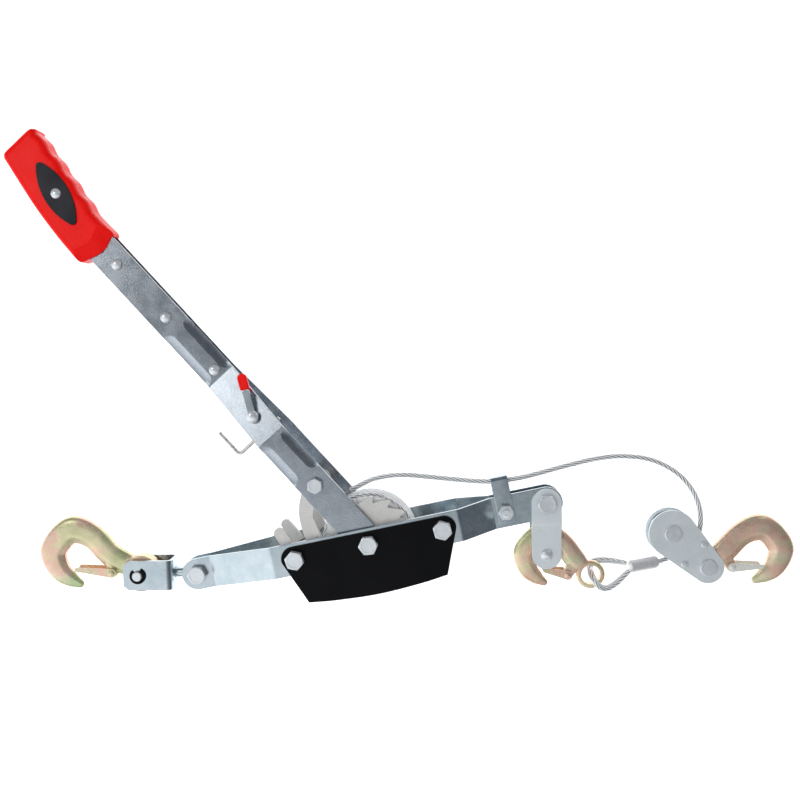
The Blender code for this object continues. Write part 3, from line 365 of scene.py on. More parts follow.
def thickened(path, thickness):
    """A closed outline: an open line of (x, z), and itself set off upwards."""
    points = [Vector(p) for p in path]
    upper = []
    for i, p in enumerate(points):
        run = (points[min(i + 1, len(points) - 1)] - points[max(i - 1, 0)]).normalized()
        upper.append((p.x - run.y * thickness, p.y + run.x * thickness))
    return [tuple(p) for p in points] + upper[::-1]


def inset_prism(outline, low, high, radius, steps=5):
    """An upright solid with rounded edges; the outline runs anticlockwise."""
    points = [Vector(p) for p in outline]
    count = len(points)
    inward = []
    for i, p in enumerate(points):
        run = (points[(i + 1) % count] - points[i - 1]).normalized()
        inward.append(Vector((-run.y, run.x)))
    for _ in range(3):
        inward = [(inward[i - 1] + 2 * inward[i] + inward[(i + 1) % count]).normalized()
                  for i in range(count)]

    def ring(inset, z):
        return [(p.x + n.x * inset, p.y + n.y * inset, z) for p, n in zip(points, inward)]

    rise = []
    for i in range(steps + 1):
        turn = math.pi / 2 * i / steps
        rise.append((radius * (1 - math.sin(turn)), radius * (1 - math.cos(turn))))
    rings = [ring(inset, low + lift) for inset, lift in rise]
    rings += [ring(inset, high - lift) for inset, lift in reversed(rise)]
    return loft(rings)


def remeshed(obj, voxel, smoothing):
    """One smooth skin over joined shapes, as on a forging."""
    change = obj.modifiers.new("Remesh", "REMESH")
    change.mode = "VOXEL"
    change.voxel_size = voxel * MM
    obj = baked(obj)
    smooth = obj.modifiers.new("Smooth", "SMOOTH")
    smooth.factor = 0.5
    smooth.iterations = smoothing
    return baked(obj)


# ---------------------------------------------------------------- materials

def shader_material(name, metallic, roughness, specular=0.5):
    """A new material, and its shader node."""
    made = bpy.data.materials.new(name)
    made.use_nodes = True
    shader = made.node_tree.nodes["Principled BSDF"]
    shader.inputs["Metallic"].default_value = metallic
    shader.inputs["Roughness"].default_value = roughness
    shader.inputs["Specular IOR Level"].default_value = specular
    return made, shader


def noise(tree, scale, detail=4.0, rough=0.6):
    """Noise over the piece's own coordinates, in metres; scale is cells per metre."""
    coordinates = tree.nodes.new("ShaderNodeTexCoord")
    made = tree.nodes.new("ShaderNodeTexNoise")
    made.inputs["Scale"].default_value = scale
    made.inputs["Detail"].default_value = detail
    made.inputs["Roughness"].default_value = rough
    tree.links.new(coordinates.outputs["Object"], made.inputs["Vector"])
    return made.outputs["Fac"]


def ramp(tree, value, stops):
    """A colour ramp; stops are (position, colour)."""
    made = tree.nodes.new("ShaderNodeValToRGB")
    elements = made.color_ramp.elements
    while len(elements) < len(stops):
        elements.new(0.5)
    for element, (position, colour) in zip(elements, stops):
        element.position = position
        element.color = (*colour, 1.0)
    tree.links.new(value, made.inputs["Fac"])
    return made.outputs["Color"]


def spread(tree, value, low, high, start=0.3, end=0.7):
    """A value's range from start to end, spread over low to high."""
    made = tree.nodes.new("ShaderNodeMapRange")
    made.inputs["From Min"].default_value = start
    made.inputs["From Max"].default_value = end
    made.inputs["To Min"].default_value = low
    made.inputs["To Max"].default_value = high
    tree.links.new(value, made.inputs["Value"])
    return made.outputs["Result"]


def multiplied(tree, first, second, amount):
    """A colour multiplied by another, by an amount from 0 to 1."""
    made = tree.nodes.new("ShaderNodeMix")
    made.data_type = "RGBA"
    made.blend_type = "MULTIPLY"
    made.inputs["Factor"].default_value = amount
    tree.links.new(first, made.inputs["A"])
    tree.links.new(second, made.inputs["B"])
    return made.outputs["Result"]


def bumped(tree, shader, height, strength, distance):
    """Give a shader's skin a fine relief."""
    made = tree.nodes.new("ShaderNodeBump")
    made.inputs["Strength"].default_value = strength
    made.inputs["Distance"].default_value = distance
    tree.links.new(height, made.inputs["Height"])
    tree.links.new(made.outputs["Normal"], shader.inputs["Normal"])


def plated(name, dark, light, roughness, grain=2600.0, grain_depth=0.12, cloud=55.0, metallic=1.0):
    """Zinc-plated steel: soft clouds of tone, a fine grain, and an uneven sheen."""
    made, shader = shader_material(name, metallic, 0.3)
    tree = made.node_tree
    clouds = noise(tree, cloud, 5.0, 0.62)
    fine = noise(tree, grain, 2.0, 0.7)
    tone = ramp(tree, clouds, ((0.32, dark), (0.68, light)))
    speckle = ramp(tree, fine, ((0.34, (0.72, 0.73, 0.75)), (0.62, (1.0, 1.0, 1.0))))
    tree.links.new(multiplied(tree, tone, speckle, 0.6), shader.inputs["Base Color"])
    tree.links.new(spread(tree, clouds, roughness[0], roughness[1]), shader.inputs["Roughness"])
    bumped(tree, shader, fine, grain_depth, 0.0002)
    return made


def stranded(name, groove, crown, roughness):
    """Wire rope: bright on the strands' crowns, with painted shade darkening the grooves between them."""
    made, shader = shader_material(name, 0.55, roughness)
    tree = made.node_tree
    shape = tree.nodes.new("ShaderNodeNewGeometry")
    # painted shade: the Pointiness mask pulls the grooves between the strands towards the near-black groove
    # colour
    depth = spread(tree, shape.outputs["Pointiness"], 0.0, 1.0, 0.45, 0.54)
    tree.links.new(ramp(tree, depth, ((0.0, groove), (0.9, crown))), shader.inputs["Base Color"])
    return made


def yellow_plated(name):
    """Yellow passivated zinc on a forging: straw, rose and green bands over a slightly rough skin."""
    made, shader = shader_material(name, 0.68, 0.3)
    tree = made.node_tree
    bands = noise(tree, 26.0, 2.5, 0.55)
    clouds = noise(tree, 90.0, 4.0, 0.6)
    skin = noise(tree, 900.0, 4.0, 0.65)
    tint = ramp(tree, bands, ((0.30, (0.62, 0.64, 0.36)), (0.42, (0.84, 0.74, 0.48)),
                              (0.52, (0.92, 0.60, 0.47)), (0.62, (0.82, 0.70, 0.50)),
                              (0.74, (0.58, 0.68, 0.38))))
    shade = ramp(tree, clouds, ((0.3, (0.76, 0.73, 0.68)), (0.6, (1.0, 1.0, 1.0))))
    tree.links.new(multiplied(tree, tint, shade, 0.55), shader.inputs["Base Color"])
    tree.links.new(spread(tree, clouds, 0.20, 0.34), shader.inputs["Roughness"])
    bumped(tree, shader, skin, 0.16, 0.0006)
    return made


def moulded(name, dark, light, roughness, texture, depth):
    """Moulded plastic or paint: slight tone change, and a faint texture in its skin."""
    made, shader = shader_material(name, 0.0, 0.3, 0.12)
    tree = made.node_tree
    clouds = noise(tree, 30.0, 3.0)
    skin = noise(tree, texture, 3.0)
    tree.links.new(ramp(tree, clouds, ((0.3, dark), (0.7, light))), shader.inputs["Base Color"])
    sheen = noise(tree, 120.0)
    tree.links.new(spread(tree, sheen, roughness[0], roughness[1]), shader.inputs["Roughness"])
    bumped(tree, shader, skin, depth, 0.0004)
    return made


ZINC = plated("bright_zinc", (0.55, 0.64, 0.68), (0.74, 0.81, 0.84), (0.16, 0.27))
PALE_ZINC = plated("pale_zinc", (0.74, 0.80, 0.81), (0.83, 0.88, 0.89), (0.30, 0.42),
                   grain=2200.0, grain_depth=0.06, cloud=40.0, metallic=0.45)
HANDLE_ZINC = plated("grey_zinc", (0.46, 0.50, 0.54), (0.58, 0.62, 0.66), (0.20, 0.32),
                     grain=900.0, grain_depth=0.45, cloud=60.0)
CAST = plated("pale_casting", (0.66, 0.64, 0.61), (0.76, 0.74, 0.71), (0.42, 0.55),
              grain=1100.0, grain_depth=0.22, cloud=90.0, metallic=0.35)
BOLT_STEEL = plated("bolt_zinc", (0.78, 0.82, 0.84), (0.90, 0.93, 0.94), (0.16, 0.26),
                    grain_depth=0.06, cloud=160.0, metallic=0.6)
# The near-black first colour is painted shade for the grooves between the strands
ROPE_STEEL = stranded("rope_steel", (0.03, 0.03, 0.035), (0.93, 0.94, 0.94), 0.3)
FERRULE_METAL = plated("ferrule_metal", (0.72, 0.71, 0.71), (0.84, 0.83, 0.83), (0.28, 0.4),
                       grain=1500.0, grain_depth=0.08, cloud=200.0, metallic=0.4)
ROD_STEEL = plated("rod_steel", (0.74, 0.72, 0.68), (0.84, 0.82, 0.78), (0.24, 0.34),
                   grain=1500.0, grain_depth=0.08, cloud=200.0, metallic=0.7)
SPRING_STEEL = plated("spring_steel", (0.20, 0.20, 0.21), (0.32, 0.32, 0.33), (0.28, 0.4),
                      grain=1500.0, grain_depth=0.05, cloud=200.0)
FORGED = yellow_plated("yellow_zinc")
PALE_LATCH = plated("pale_passivated_zinc", (0.84, 0.83, 0.75), (0.92, 0.91, 0.86), (0.28, 0.4),
                    grain=1500.0, grain_depth=0.06, cloud=160.0, metallic=0.3)
BLACK_PAINT = moulded("black_paint", (0.0012, 0.0012, 0.0015), (0.003, 0.003, 0.0035), (0.30, 0.42),
                      texture=900.0, depth=0.06)
RED_PLASTIC = moulded("red_plastic", (0.80, 0.004, 0.003), (0.90, 0.008, 0.005), (0.22, 0.34),
                      texture=260.0, depth=0.06)
BLACK_PLASTIC = moulded("black_panel", (0.006, 0.006, 0.008), (0.035, 0.035, 0.04), (0.30, 0.5),
                        texture=160.0, depth=0.5)


# ---------------------------------------------------------------- placing

def place(x=0.0, y=0.0, z=0.0, turn_deg=0.0):
    """Where a piece's own origin lies and how it is turned, in the world."""
    return (Matrix.Translation((x * MM, y * MM, (z + MID_Z) * MM))
            @ Matrix.Rotation(math.radians(turn_deg), 4, "Z"))


def show(obj, node, surface, body, at, smooth_deg=35):
    """Put a detailed piece where its CAD node is, make it ride on the node's body and stand for the node."""
    obj.name = node + "_piece"
    obj.data.name = node + "_piece"
    obj.data.transform(at)
    obj.matrix_world = Matrix.Identity(4)
    obj.data.materials.clear()
    obj.data.materials.append(surface)
    obj.data.shade_smooth()
    obj.data.set_sharp_from_angle(angle=math.radians(smooth_deg))
    weighted = obj.modifiers.new("Flat faces stay flat", "WEIGHTED_NORMAL")
    weighted.keep_sharp = True
    weighted.weight = 100
    if body:
        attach(obj, body)
    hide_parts(node)
    return obj


def show_pair(upper, node, surface, body, at, smooth_deg=35):
    """Put a piece and its mirror image below it where their two CAD nodes are."""
    show(mirrored_in_z(upper), node + "_lower", surface, body, at, smooth_deg)
    show(upper, node + "_upper", surface, body, at, smooth_deg)


ROOT_AT = place()
HANDLE_AT = place(turn_deg=HANDLE_DEG)
SWIVEL_AT = place(-END_X, 0, 0, ANCHOR_DEG)
LINK_AT = place(END_X, 0, 0, LINK_DEG)
BLOCK_AT = place(*SHEAVE_AT, BLOCK_Z, BLOCK_DEG)


# ---------------------------------------------------------------- fasteners

def hex_head(flats, low, high, turn_deg, recess=0.0, both=False):
    """A hexagon with its corners turned off above, or on both faces, and a round recess in the top."""
    corner = flats / math.sqrt(3)
    body = cylinder(corner, low, high, sides=6, turn=math.radians(turn_deg))
    bite = corner - flats / 2 * 0.97
    profile = [(0, high), (flats / 2 * 0.97, high), (corner + 0.05, high - bite * 0.55)]
    if both:
        profile += [(corner + 0.05, low + bite * 0.55), (flats / 2 * 0.97, low), (0, low)]
    else:
        profile += [(corner + 0.05, low - 0.01), (0, low - 0.01)]
    body = boolean(body, [turned(profile, 72)], "INTERSECT")
    if recess:
        body = boolean(body, [cylinder(flats * 0.38, high - recess, high + 1)], "DIFFERENCE")
    return bevelled(body, 0.22, 2, 25)


def bolt(radius, flats, low, high, head, nut, stud=0.0, turn_deg=15.0, flip=False):
    """A bolt seen from its head: recessed head above, chamfered nut below, the thread's end past the nut."""
    shank = turned([(0, high + head - 1.5), (radius, high + head - 1.5), (radius, low - nut - stud + 0.8),
                    (radius - 0.8, low - nut - stud), (0, low - nut - stud)], 40)
    top = hex_head(flats, high, high + head, turn_deg, 0.35)
    lower = hex_head(flats, low - nut, low, turn_deg + 20, both=True)
    made = boolean(shank, [top, lower], "UNION")
    if flip:
        made.data.transform(Matrix.Rotation(math.pi, 4, "X"))
    return made


def dome_rivet(radius, low, high, head_r, head_h, dimple):
    """A pin with a domed head at each end, and a small dimple where it was set."""
    steps = 12
    top = [(head_r * math.sin(math.pi / 2 * i / steps), high + head_h * math.cos(math.pi / 2 * i / steps))
           for i in range(steps + 1)]
    top[:1] = [(0.0, high + head_h - dimple), (head_r * 0.10, high + head_h - dimple)]
    profile = top + [(head_r - 0.15, high), (radius, high), (radius, low)]
    return turned(profile + [(r, low + high - z) for r, z in reversed(top)], 40)


def flat_pin(radius, half, head_r, head_h):
    """A pin with a low, rounded head at each end."""
    rounding = 0.9
    edge = arc((head_r - rounding, half + head_h - rounding), rounding, 90, 0, 6)
    top = [(0.0, half + head_h)] + edge + [(head_r, half)]
    return turned(top + [(radius, half), (radius, -half)] + [(r, -z) for r, z in reversed(top)], 56)


def coil(radius, wire, turns, pitch, legs_deg, leg):
    """A torsion spring round Z, with a straight leg at each end."""
    per_turn = 36
    steps = round(turns * per_turn)
    height = turns * pitch
    points = []
    for i in range(steps + 1):
        angle = math.radians(legs_deg[0] - 90) + 2 * math.pi * i / per_turn
        points.append((radius * math.cos(angle), radius * math.sin(angle), -height / 2 + height * i / steps))
    first, last = points[0], points[-1]
    start = polar(leg, legs_deg[0] + 180, first[:2])
    end = polar(leg, math.degrees(math.atan2(last[1], last[0])) + 90, last[:2])
    return tube([(*start, first[2])] + points + [(*end, last[2])], wire, 10)


# ---------------------------------------------------------------- frame

def bent_plate(path, thickness, half_width, plan, fold=5.0, edge=0.45):
    """A strip bent along its length, cut to a plan outline with holes, with slightly rounded edges."""
    strip = side_prism(thickened(filleted(path, fold), thickness), half_width + 2.0)
    plate = boolean(strip, [prism(plan, 0, 40)], "INTERSECT")
    return bevelled(plate, edge, 2, 38)


def frame_plate():
    """A side plate, bent in at both ends towards the middle plane."""
    end = END_X + FRAME_TIP
    (left_out, left_in), (right_in, right_out) = FRAME_BENDS
    path = [(-end - 2, FRAME_END_INNER_Z), (left_out, FRAME_END_INNER_Z), (left_in, FRAME_INNER_Z),
            (right_in, FRAME_INNER_Z), (right_out, FRAME_END_INNER_Z), (end + 2, FRAME_END_INNER_Z)]
    plan = [stadium(-end, end, FRAME_HALF_WIDTH)]
    plan += [circle(5.5, (x, 0)) for x in (-END_X, -SIDE_X, 0.0, SIDE_X, END_X)] + [circle(4.5, (CLIP_X, 0))]
    return bent_plate(path, FRAME_THICKNESS, FRAME_HALF_WIDTH, plan)


def cover():
    """A thin black sheet with a lip turned in along its curved bottom edge."""
    low = FRAME_INNER_Z + FRAME_THICKNESS + CLEARANCE
    top = low + COVER_THICKNESS
    bottom = [tuple(p[:2]) for p in smooth_path([(-66, -42.5, 0), (-40, -45.5, 0), (0, -47.5, 0),
                                                 (40, -45.5, 0), (66, -42.5, 0)], 3.0)]
    outline = bottom + arc((SIDE_X + 2, 1.0), 11.0, -12, 90, 16) + arc((-SIDE_X - 2, 1.0), 11.0, 90, 192, 16)
    holes = [circle(5.5, (x, 0)) for x in (-SIDE_X, 0, SIDE_X)]
    sheet = prism([outline] + holes, low, top)
    inner = [(x, y + COVER_THICKNESS) for x, y in reversed(bottom)]
    lip = prism([bottom + inner], low - COVER_LIP, top - 0.5)
    return bevelled(boolean(sheet, [lip], "UNION"), 0.6, 3, 38)


def cable_clip():
    """A strap over the cable, with a leg down each side of the nose."""
    inner = FRAME_END_INNER_Z + FRAME_THICKNESS + CLEARANCE
    outer, reach = inner + 2.0, 34.3
    outside = ([(-10.8, inner), (-10.8, outer)] + arc((reach - 4, outer - 4), 4, 90, 0, 8)
               + arc((reach - 4, 4 - outer), 4, 0, -90, 8) + [(-10.8, -outer), (-10.8, -inner)])
    inside = arc((reach - 4, 4 - outer), 2, -90, 0, 8) + arc((reach - 4, outer - 4), 2, 0, 90, 8)
    strap = prism([outside + inside], -8.0, 8.0)
    strap.data.transform(Matrix(((0, 0, 1, 0), (1, 0, 0, 0), (0, 1, 0, 0), (0, 0, 0, 1))))
    strap = boolean(strap, [cylinder(4.5, -20, 20)], "DIFFERENCE")
    return moved(bevelled(strap, 0.35, 2, 38), CLIP_X)


def build_frame():
    show_pair(frame_plate(), "frame_plate", ZINC, "frame", ROOT_AT)
    show_pair(cover(), "cover", BLACK_PAINT, "frame", ROOT_AT)
    side = FRAME_INNER_Z + FRAME_THICKNESS + COVER_THICKNESS + 2 * CLEARANCE
    end = FRAME_END_INNER_Z + FRAME_THICKNESS + CLEARANCE
    nose = end + 3.0 + 2 * CLEARANCE
    for node, x, height, nut, turn in (
            ("pawl_bolt", -SIDE_X, side, MID_Z - side, 8), ("main_bolt", 0.0, side, MID_Z - side, 24),
            ("spacer_bolt", SIDE_X, side, MID_Z - side, 4), ("anchor_bolt", -END_X, end, 7.9, 18),
            ("nose_bolt", END_X, nose, 7.9, 20)):
        show(bolt(5.0, 16.0, -height, height, 6.4, nut, turn_deg=turn), node, BOLT_STEEL, "frame", place(x))
    sleeve = FRAME_INNER_Z - CLEARANCE
    show(bevelled(turned([(8.0, sleeve), (8.0, -sleeve), (5.5, -sleeve), (5.5, sleeve)]), 0.4, 2),
         "frame_spacer", ZINC, "frame", place(SIDE_X))
    show(cable_clip(), "cable_clip", ZINC, "frame", ROOT_AT)
    strap = end + 2.0 + CLEARANCE
    show(bolt(4.0, 13.0, -strap, strap, 5.3, 6.5, 2.0, 20, flip=True), "clip_bolt", BOLT_STEEL, "frame",
         place(CLIP_X))


# ---------------------------------------------------------------- drum and pawls

def ratchet_wheel():
    """Saw teeth whose steep faces look clockwise, and a raised hub."""
    pitch = 360.0 / TEETH
    outline = []
    for i in range(TEETH):
        face = TOOTH_FACE_DEG + i * pitch
        outline += [polar(ROOT_R, face), polar(TIP_R, face), polar(TIP_R, face + TOOTH_LAND_DEG),
                    polar((TIP_R + ROOT_R) / 2, face + TOOTH_LAND_DEG + (pitch - TOOTH_LAND_DEG) * 0.4)]
    wheel = prism([outline, circle(7.4)], *WHEEL_Z)
    dish = prism([circle(31.0, count=72), circle(15.0)], WHEEL_Z[1] - 1.0, WHEEL_Z[1] + 1)
    return bevelled(boolean(wheel, [dish], "DIFFERENCE"), 0.4, 2, 38)


def stop_pawl():
    """A nose towards the wheel and a thumb tab, on one hub."""
    nose = [polar(ROOT_R + 2.2, TOOTH_FACE_DEG + 40.5), (-44.3, -9.0), (-64.0, 6.0), (-72.0, -8.0),
            (-44.0, -20.5), polar(TIP_R + 0.4, TOOTH_FACE_DEG + 40.5)]
    arm = prism([[(x - STOP_PIVOT[0], y) for x, y in nose]], WHEEL_Z[0] + 0.2, WHEEL_Z[1])
    moved(arm, turn_deg=-12.0)
    tab = hull_of_circles((0, 0), 6.5, polar(28.0, 114.6), 4.75)
    thumb = prism([tab], WHEEL_Z[0] + 0.1, WHEEL_Z[1] - 0.1)
    hub = cylinder(8.5, WHEEL_Z[0], FRAME_INNER_Z - CLEARANCE)
    pawl = boolean(hub, [arm, thumb], "UNION")
    pawl = boolean(pawl, [cylinder(5.4, 0, 40)], "DIFFERENCE")
    return bevelled(pawl, 0.7, 3, 38)


def drive_pawl():
    """Two hooked cheeks, one over each wheel, on one hub."""
    at = polar(DRIVE_PAWL_AT, HANDLE_DEG)
    back = [tuple(p[:2]) for p in smooth_path(
        [(-47.0, 9.5, 0), (-52.5, 15.0, 0), (-55.8, 35.0, 0), (-53.0, 52.0, 0), (-45.5, 66.0, 0)], 2.5)]
    face = [polar(ROOT_R + 1.4, TOOTH_FACE_DEG - 2.5), polar(TIP_R + 0.5, TOOTH_FACE_DEG - 2.5)]
    outline = face + back + [(-30.0, 60.0), (-41.0, 44.0), (-43.2, 33.0)]
    local = [(x - at[0], y - at[1]) for x, y in outline]
    cheeks = [prism([local], WHEEL_Z[0] + 0.2, WHEEL_Z[1]), prism([local], -WHEEL_Z[1], -WHEEL_Z[0] - 0.2)]
    hub = cylinder(8.5, -WHEEL_Z[1] - 0.2, WHEEL_Z[1] + 0.2)
    pawl = boolean(hub, cheeks, "UNION")
    pawl = boolean(pawl, [cylinder(4.4, -40, 40)], "DIFFERENCE")
    return moved(bevelled(pawl, 0.8, 3, 38), turn_deg=-7.0 - HANDLE_DEG)


def build_drum():
    show_pair(ratchet_wheel(), "ratchet_wheel", CAST, "drum", ROOT_AT)
    pawl = stop_pawl()
    show(mirrored_in_z(pawl), "stop_pawl_lower", CAST, "stop_pawl_lower", place(*STOP_PIVOT))
    show(pawl, "stop_pawl_upper", CAST, "stop_pawl_upper", place(*STOP_PIVOT))
    show(coil(7.4, 0.9, 6, 2.6, (200.0, 20.0), 9.0), "stop_pawl_spring", SPRING_STEEL, "frame",
         place(*STOP_PIVOT))


# ---------------------------------------------------------------- anchor end

def swivel_eye():
    """An eye on the anchor bolt, with a headed stem that the clevis turns on."""
    stem = turned([(0.0, CLEVIS_BACK + 8.6), (6.0, CLEVIS_BACK + 8.6), (8.0, CLEVIS_BACK + 7.8),
                   (8.6, CLEVIS_BACK + 6.2), (8.6, CLEVIS_BACK + CLEVIS_THICKNESS + 0.5),
                   (4.9, CLEVIS_BACK + CLEVIS_THICKNESS + 0.5), (4.9, CLEVIS_BACK - 2.0),
                   (5.7, CLEVIS_BACK - 9.0), (5.7, 8.0), (0.0, 8.0)])
    stem.data.transform(Matrix.Rotation(math.pi / 2, 4, "Y"))
    eye = boolean(cylinder(11.5, -5.8, 5.8, sides=64), [stem], "UNION")
    return bevelled(boolean(eye, [cylinder(5.4, -20, 20)], "DIFFERENCE"), 0.9, 3, 38)


def clevis():
    """A strap bent into a U, open towards the hook along +X."""
    back, front, half, wall, fold = CLEVIS_BACK, CLEVIS_FRONT, CLEVIS_HALF_HEIGHT, CLEVIS_THICKNESS, 6.0
    outer = ([(front, -half)] + arc((back + fold, -half + fold), fold, 270, 180, 14)
             + arc((back + fold, half - fold), fold, 180, 90, 14) + [(front, half)])
    inner = ([(front, half - wall)] + arc((back + fold, half - fold), fold - wall, 90, 180, 14)
             + arc((back + fold, -half + fold), fold - wall, 180, 270, 14) + [(front, wall - half)])
    strap = side_prism(outer + inner, CLEVIS_HALF_WIDTH)
    cut, wide = 5.0, CLEVIS_HALF_WIDTH + 1
    plan = [(back - 1, -wide), (front - cut, -wide), (front - cut, 0.1 - CLEVIS_HALF_WIDTH),
            (front, cut - CLEVIS_HALF_WIDTH), (front + 1, CLEVIS_HALF_WIDTH - cut),
            (front - cut, CLEVIS_HALF_WIDTH - 0.1), (front - cut, wide), (back - 1, wide)]
    strap = boolean(strap, [prism([plan, circle(4.9, (CLEVIS_PIN, 0))], -30, 30)], "INTERSECT")
    neck = cylinder(5.3, back - 5, back + 5)
    neck.data.transform(Matrix.Rotation(math.pi / 2, 4, "Y"))
    return bevelled(boolean(strap, [neck], "DIFFERENCE"), 0.6, 3, 38)


def forged_hook(eye_to_bowl, size, eye_r, hole_r, eye_half, latch_at, mirror=False):
    """A sling hook with its eye at the origin and its bowl along +X, its sections flowing together."""
    side = -1 if mirror else 1
    spine = [(eye_to_bowl + a * size, side * c * size, w * size) for a, c, w in HOOK_SPINE]
    start = Vector(spine[0][:2]).normalized() * (eye_r + hole_r) / 2
    path = smooth_path([(*start, eye_r * 0.62)] + spine, 1.6 * size)
    body = swept_flat([(x, y) for x, y, _ in path], [forged_section(w, side) for _, _, w in path])
    eye = bevelled(cylinder(eye_r, -eye_half, eye_half, sides=72), 1.8, 3)
    boss = prism([hull_of_circles(spine[0][:2], 6.5 * size, latch_at, 5.0)], -4.4, 4.4)
    body = remeshed(boolean(body, [eye, bevelled(boss, 0.8, 2)], "UNION"), 0.7, 4)
    holes = [cylinder(hole_r, -20, 20, sides=72), cylinder(2.35, -20, 20, latch_at)]
    body = boolean(body, holes, "DIFFERENCE")
    return bevelled(body, 0.5, 2, 60)


def forged_section(half_width, inner_side):
    """A flat-faced section: rounded outside, and chamfered on the side that bears the load."""
    half_height = HOOK_FLATNESS * half_width
    section = []
    for i in range(48):
        c, s = math.cos(2 * math.pi * i / 48), math.sin(2 * math.pi * i / 48)
        across = half_width * math.copysign(abs(c) ** 0.72, c)
        up = half_height * math.copysign(abs(s) ** 0.72, s)
        room = 1.0 - 0.95 * max(0.0, across * inner_side / half_width - 0.42)
        section.append((across, max(-half_height * room, min(half_height * room, up))))
    return section


def swept_flat(path, sections):
    """A bar along a flat path; each section is a loop of (across, up)."""
    points = [Vector(p) for p in path]
    rings = []
    for i, (p, section) in enumerate(zip(points, sections)):
        run = (points[min(i + 1, len(points) - 1)] - points[max(i - 1, 0)]).normalized()
        rings.append([(p.x - run.y * across, p.y + run.x * across, up) for across, up in section])
    return loft(rings)


def hook_latch(length, mirror=False, outer=6.9):
    """A sheet-steel keeper reaching along +X from its rivet at the origin."""
    keeper = prism([hull_of_circles((0, 0), 4.4, (length, 0), 2.0)], -outer, outer)
    slope, web_from, web_depth = (4.4 - 2.0) / length, 10.0, 1.3
    slot = [(-8, 8), (-8, -8), (length + 4, -8), (length + 4, 2.0 - 4 * slope - web_depth),
            (web_from, 4.4 - slope * web_from - web_depth), (web_from, 8)]
    keeper = boolean(keeper, [prism([slot], 1.1 - outer, outer - 1.1)], "DIFFERENCE")
    keeper = joined([bevelled(keeper, 0.25, 2, 38), dome_rivet(2.0, 0.1 - outer, outer - 0.1, 3.3, 1.6, 0.3)])
    if mirror:
        keeper.data.transform(Matrix.Scale(-1, 4, (0, 1, 0)))
        keeper.data.flip_normals()
    return keeper


def latch_place(eye, z, hook_deg, at, lean_deg):
    """Where a keeper's rivet is, for a hook whose eye and heading are given."""
    run, across = Vector(polar(1, hook_deg)), Vector(polar(1, hook_deg + 90))
    centre = run * at[0] + across * at[1]
    return place(eye[0] + centre.x, eye[1] + centre.y, z, hook_deg + lean_deg)


def build_anchor_end():
    show(swivel_eye(), "swivel_eye", ZINC, "swivel_eye", SWIVEL_AT)
    show(clevis(), "swivel_clevis", ZINC, "clevis", SWIVEL_AT)
    half = CLEVIS_HALF_HEIGHT + CLEARANCE
    pin = turned([(0, half + 3.6), (3.9, half + 3.6), (4.5, half + 3.0), (4.5, -half), (7.5, -half),
                  (7.5, -half - 2.2), (6.6, -half - 3.0), (0, -half - 3.0)])
    show(pin, "clevis_pin", BOLT_STEEL, "clevis", SWIVEL_AT @ Matrix.Translation((CLEVIS_PIN * MM, 0, 0)))
    outline = arc((0, 0), 7.8, 125, 415, 48) + arc((0, 0), 4.85, 415, 125, 48)
    eye = polar(CLEVIS_PIN, ANCHOR_DEG, (-END_X, 0))
    show(bevelled(prism([outline], half, half + 1.3), 0.25, 2, 38), "retaining_clip", BLACK_PAINT, "clevis",
         place(*eye))
    latch_at = (27.6, 6.4)
    show(forged_hook(62.8, 1.0, 18.0, 6.6, 6.8, latch_at), "anchor_hook", FORGED, "anchor_hook",
         place(*eye, 0, ANCHOR_HOOK_DEG))
    show(hook_latch(34.5), "anchor_latch", FORGED, "anchor_latch",
         latch_place(eye, 0, ANCHOR_HOOK_DEG, latch_at, 8.0))


# ---------------------------------------------------------------- link, rope eye and block

def link_plate():
    """A strap from the nose bolt to the link's pin, with a step in its middle."""
    wide = FRAME_END_INNER_Z + FRAME_THICKNESS + CLEARANCE
    path = [(-LINK_END_R - 2, wide), (19.5, wide), (28.5, 6.6), (LINK_LENGTH + LINK_END_R + 2, 6.6)]
    plan = [stadium(-LINK_END_R, LINK_LENGTH + LINK_END_R, LINK_END_R), circle(5.5),
            circle(4.9, (LINK_LENGTH, 0))]
    return bent_plate(path, 3.0, LINK_END_R, plan)


def ferrule():
    """A pressed oval sleeve with the long ridges its die left."""
    a, b = (Vector(p) for p in FERRULE_ENDS)
    half = (b - a).length / 2
    profile = [(5.0, -half), (5.9, -half + 0.5), (6.2, -half + 1.2), (6.2, half - 3.6), (5.9, half - 2.2),
               (5.2, half - 0.8), (4.5, half)]
    rings = []
    for radius, z in profile:
        ring = []
        for i in range(72):
            angle = 2 * math.pi * i / 72
            ridged = radius * (1 - 0.035 * (0.5 + 0.5 * math.cos(6 * angle + math.pi)) ** 3)
            ring.append((ridged * math.cos(angle), 0.72 * ridged * math.sin(angle), z))
        rings.append(ring)
    sleeve = loft(rings)
    aim = (b - a).normalized().to_track_quat("Z", "Y").to_matrix().to_4x4()
    sleeve.data.transform(Matrix.Translation((a + b) / 2 * MM) @ aim)
    return sleeve


def build_link():
    show_pair(link_plate(), "link", PALE_ZINC, "link", LINK_AT)
    show(dome_rivet(4.5, -9.9, 9.9, 5.8, 3.4, 0.3), "link_pin", BOLT_STEEL, "link",
         LINK_AT @ Matrix.Translation((LINK_LENGTH * MM, 0, 0)))
    show(forged_hook(42.8, 0.86, 13.6, 9.2, 3.9, (20.8, 7.2)), "cable_hook", FORGED, "cable_hook",
         place(*CABLE_HOOK_EYE, 0, CABLE_HOOK_DEG))
    show(hook_latch(22.0, outer=6.35), "cable_latch", FORGED, "cable_latch",
         latch_place(CABLE_HOOK_EYE, 0, CABLE_HOOK_DEG, (20.8, 7.2), 8.0))


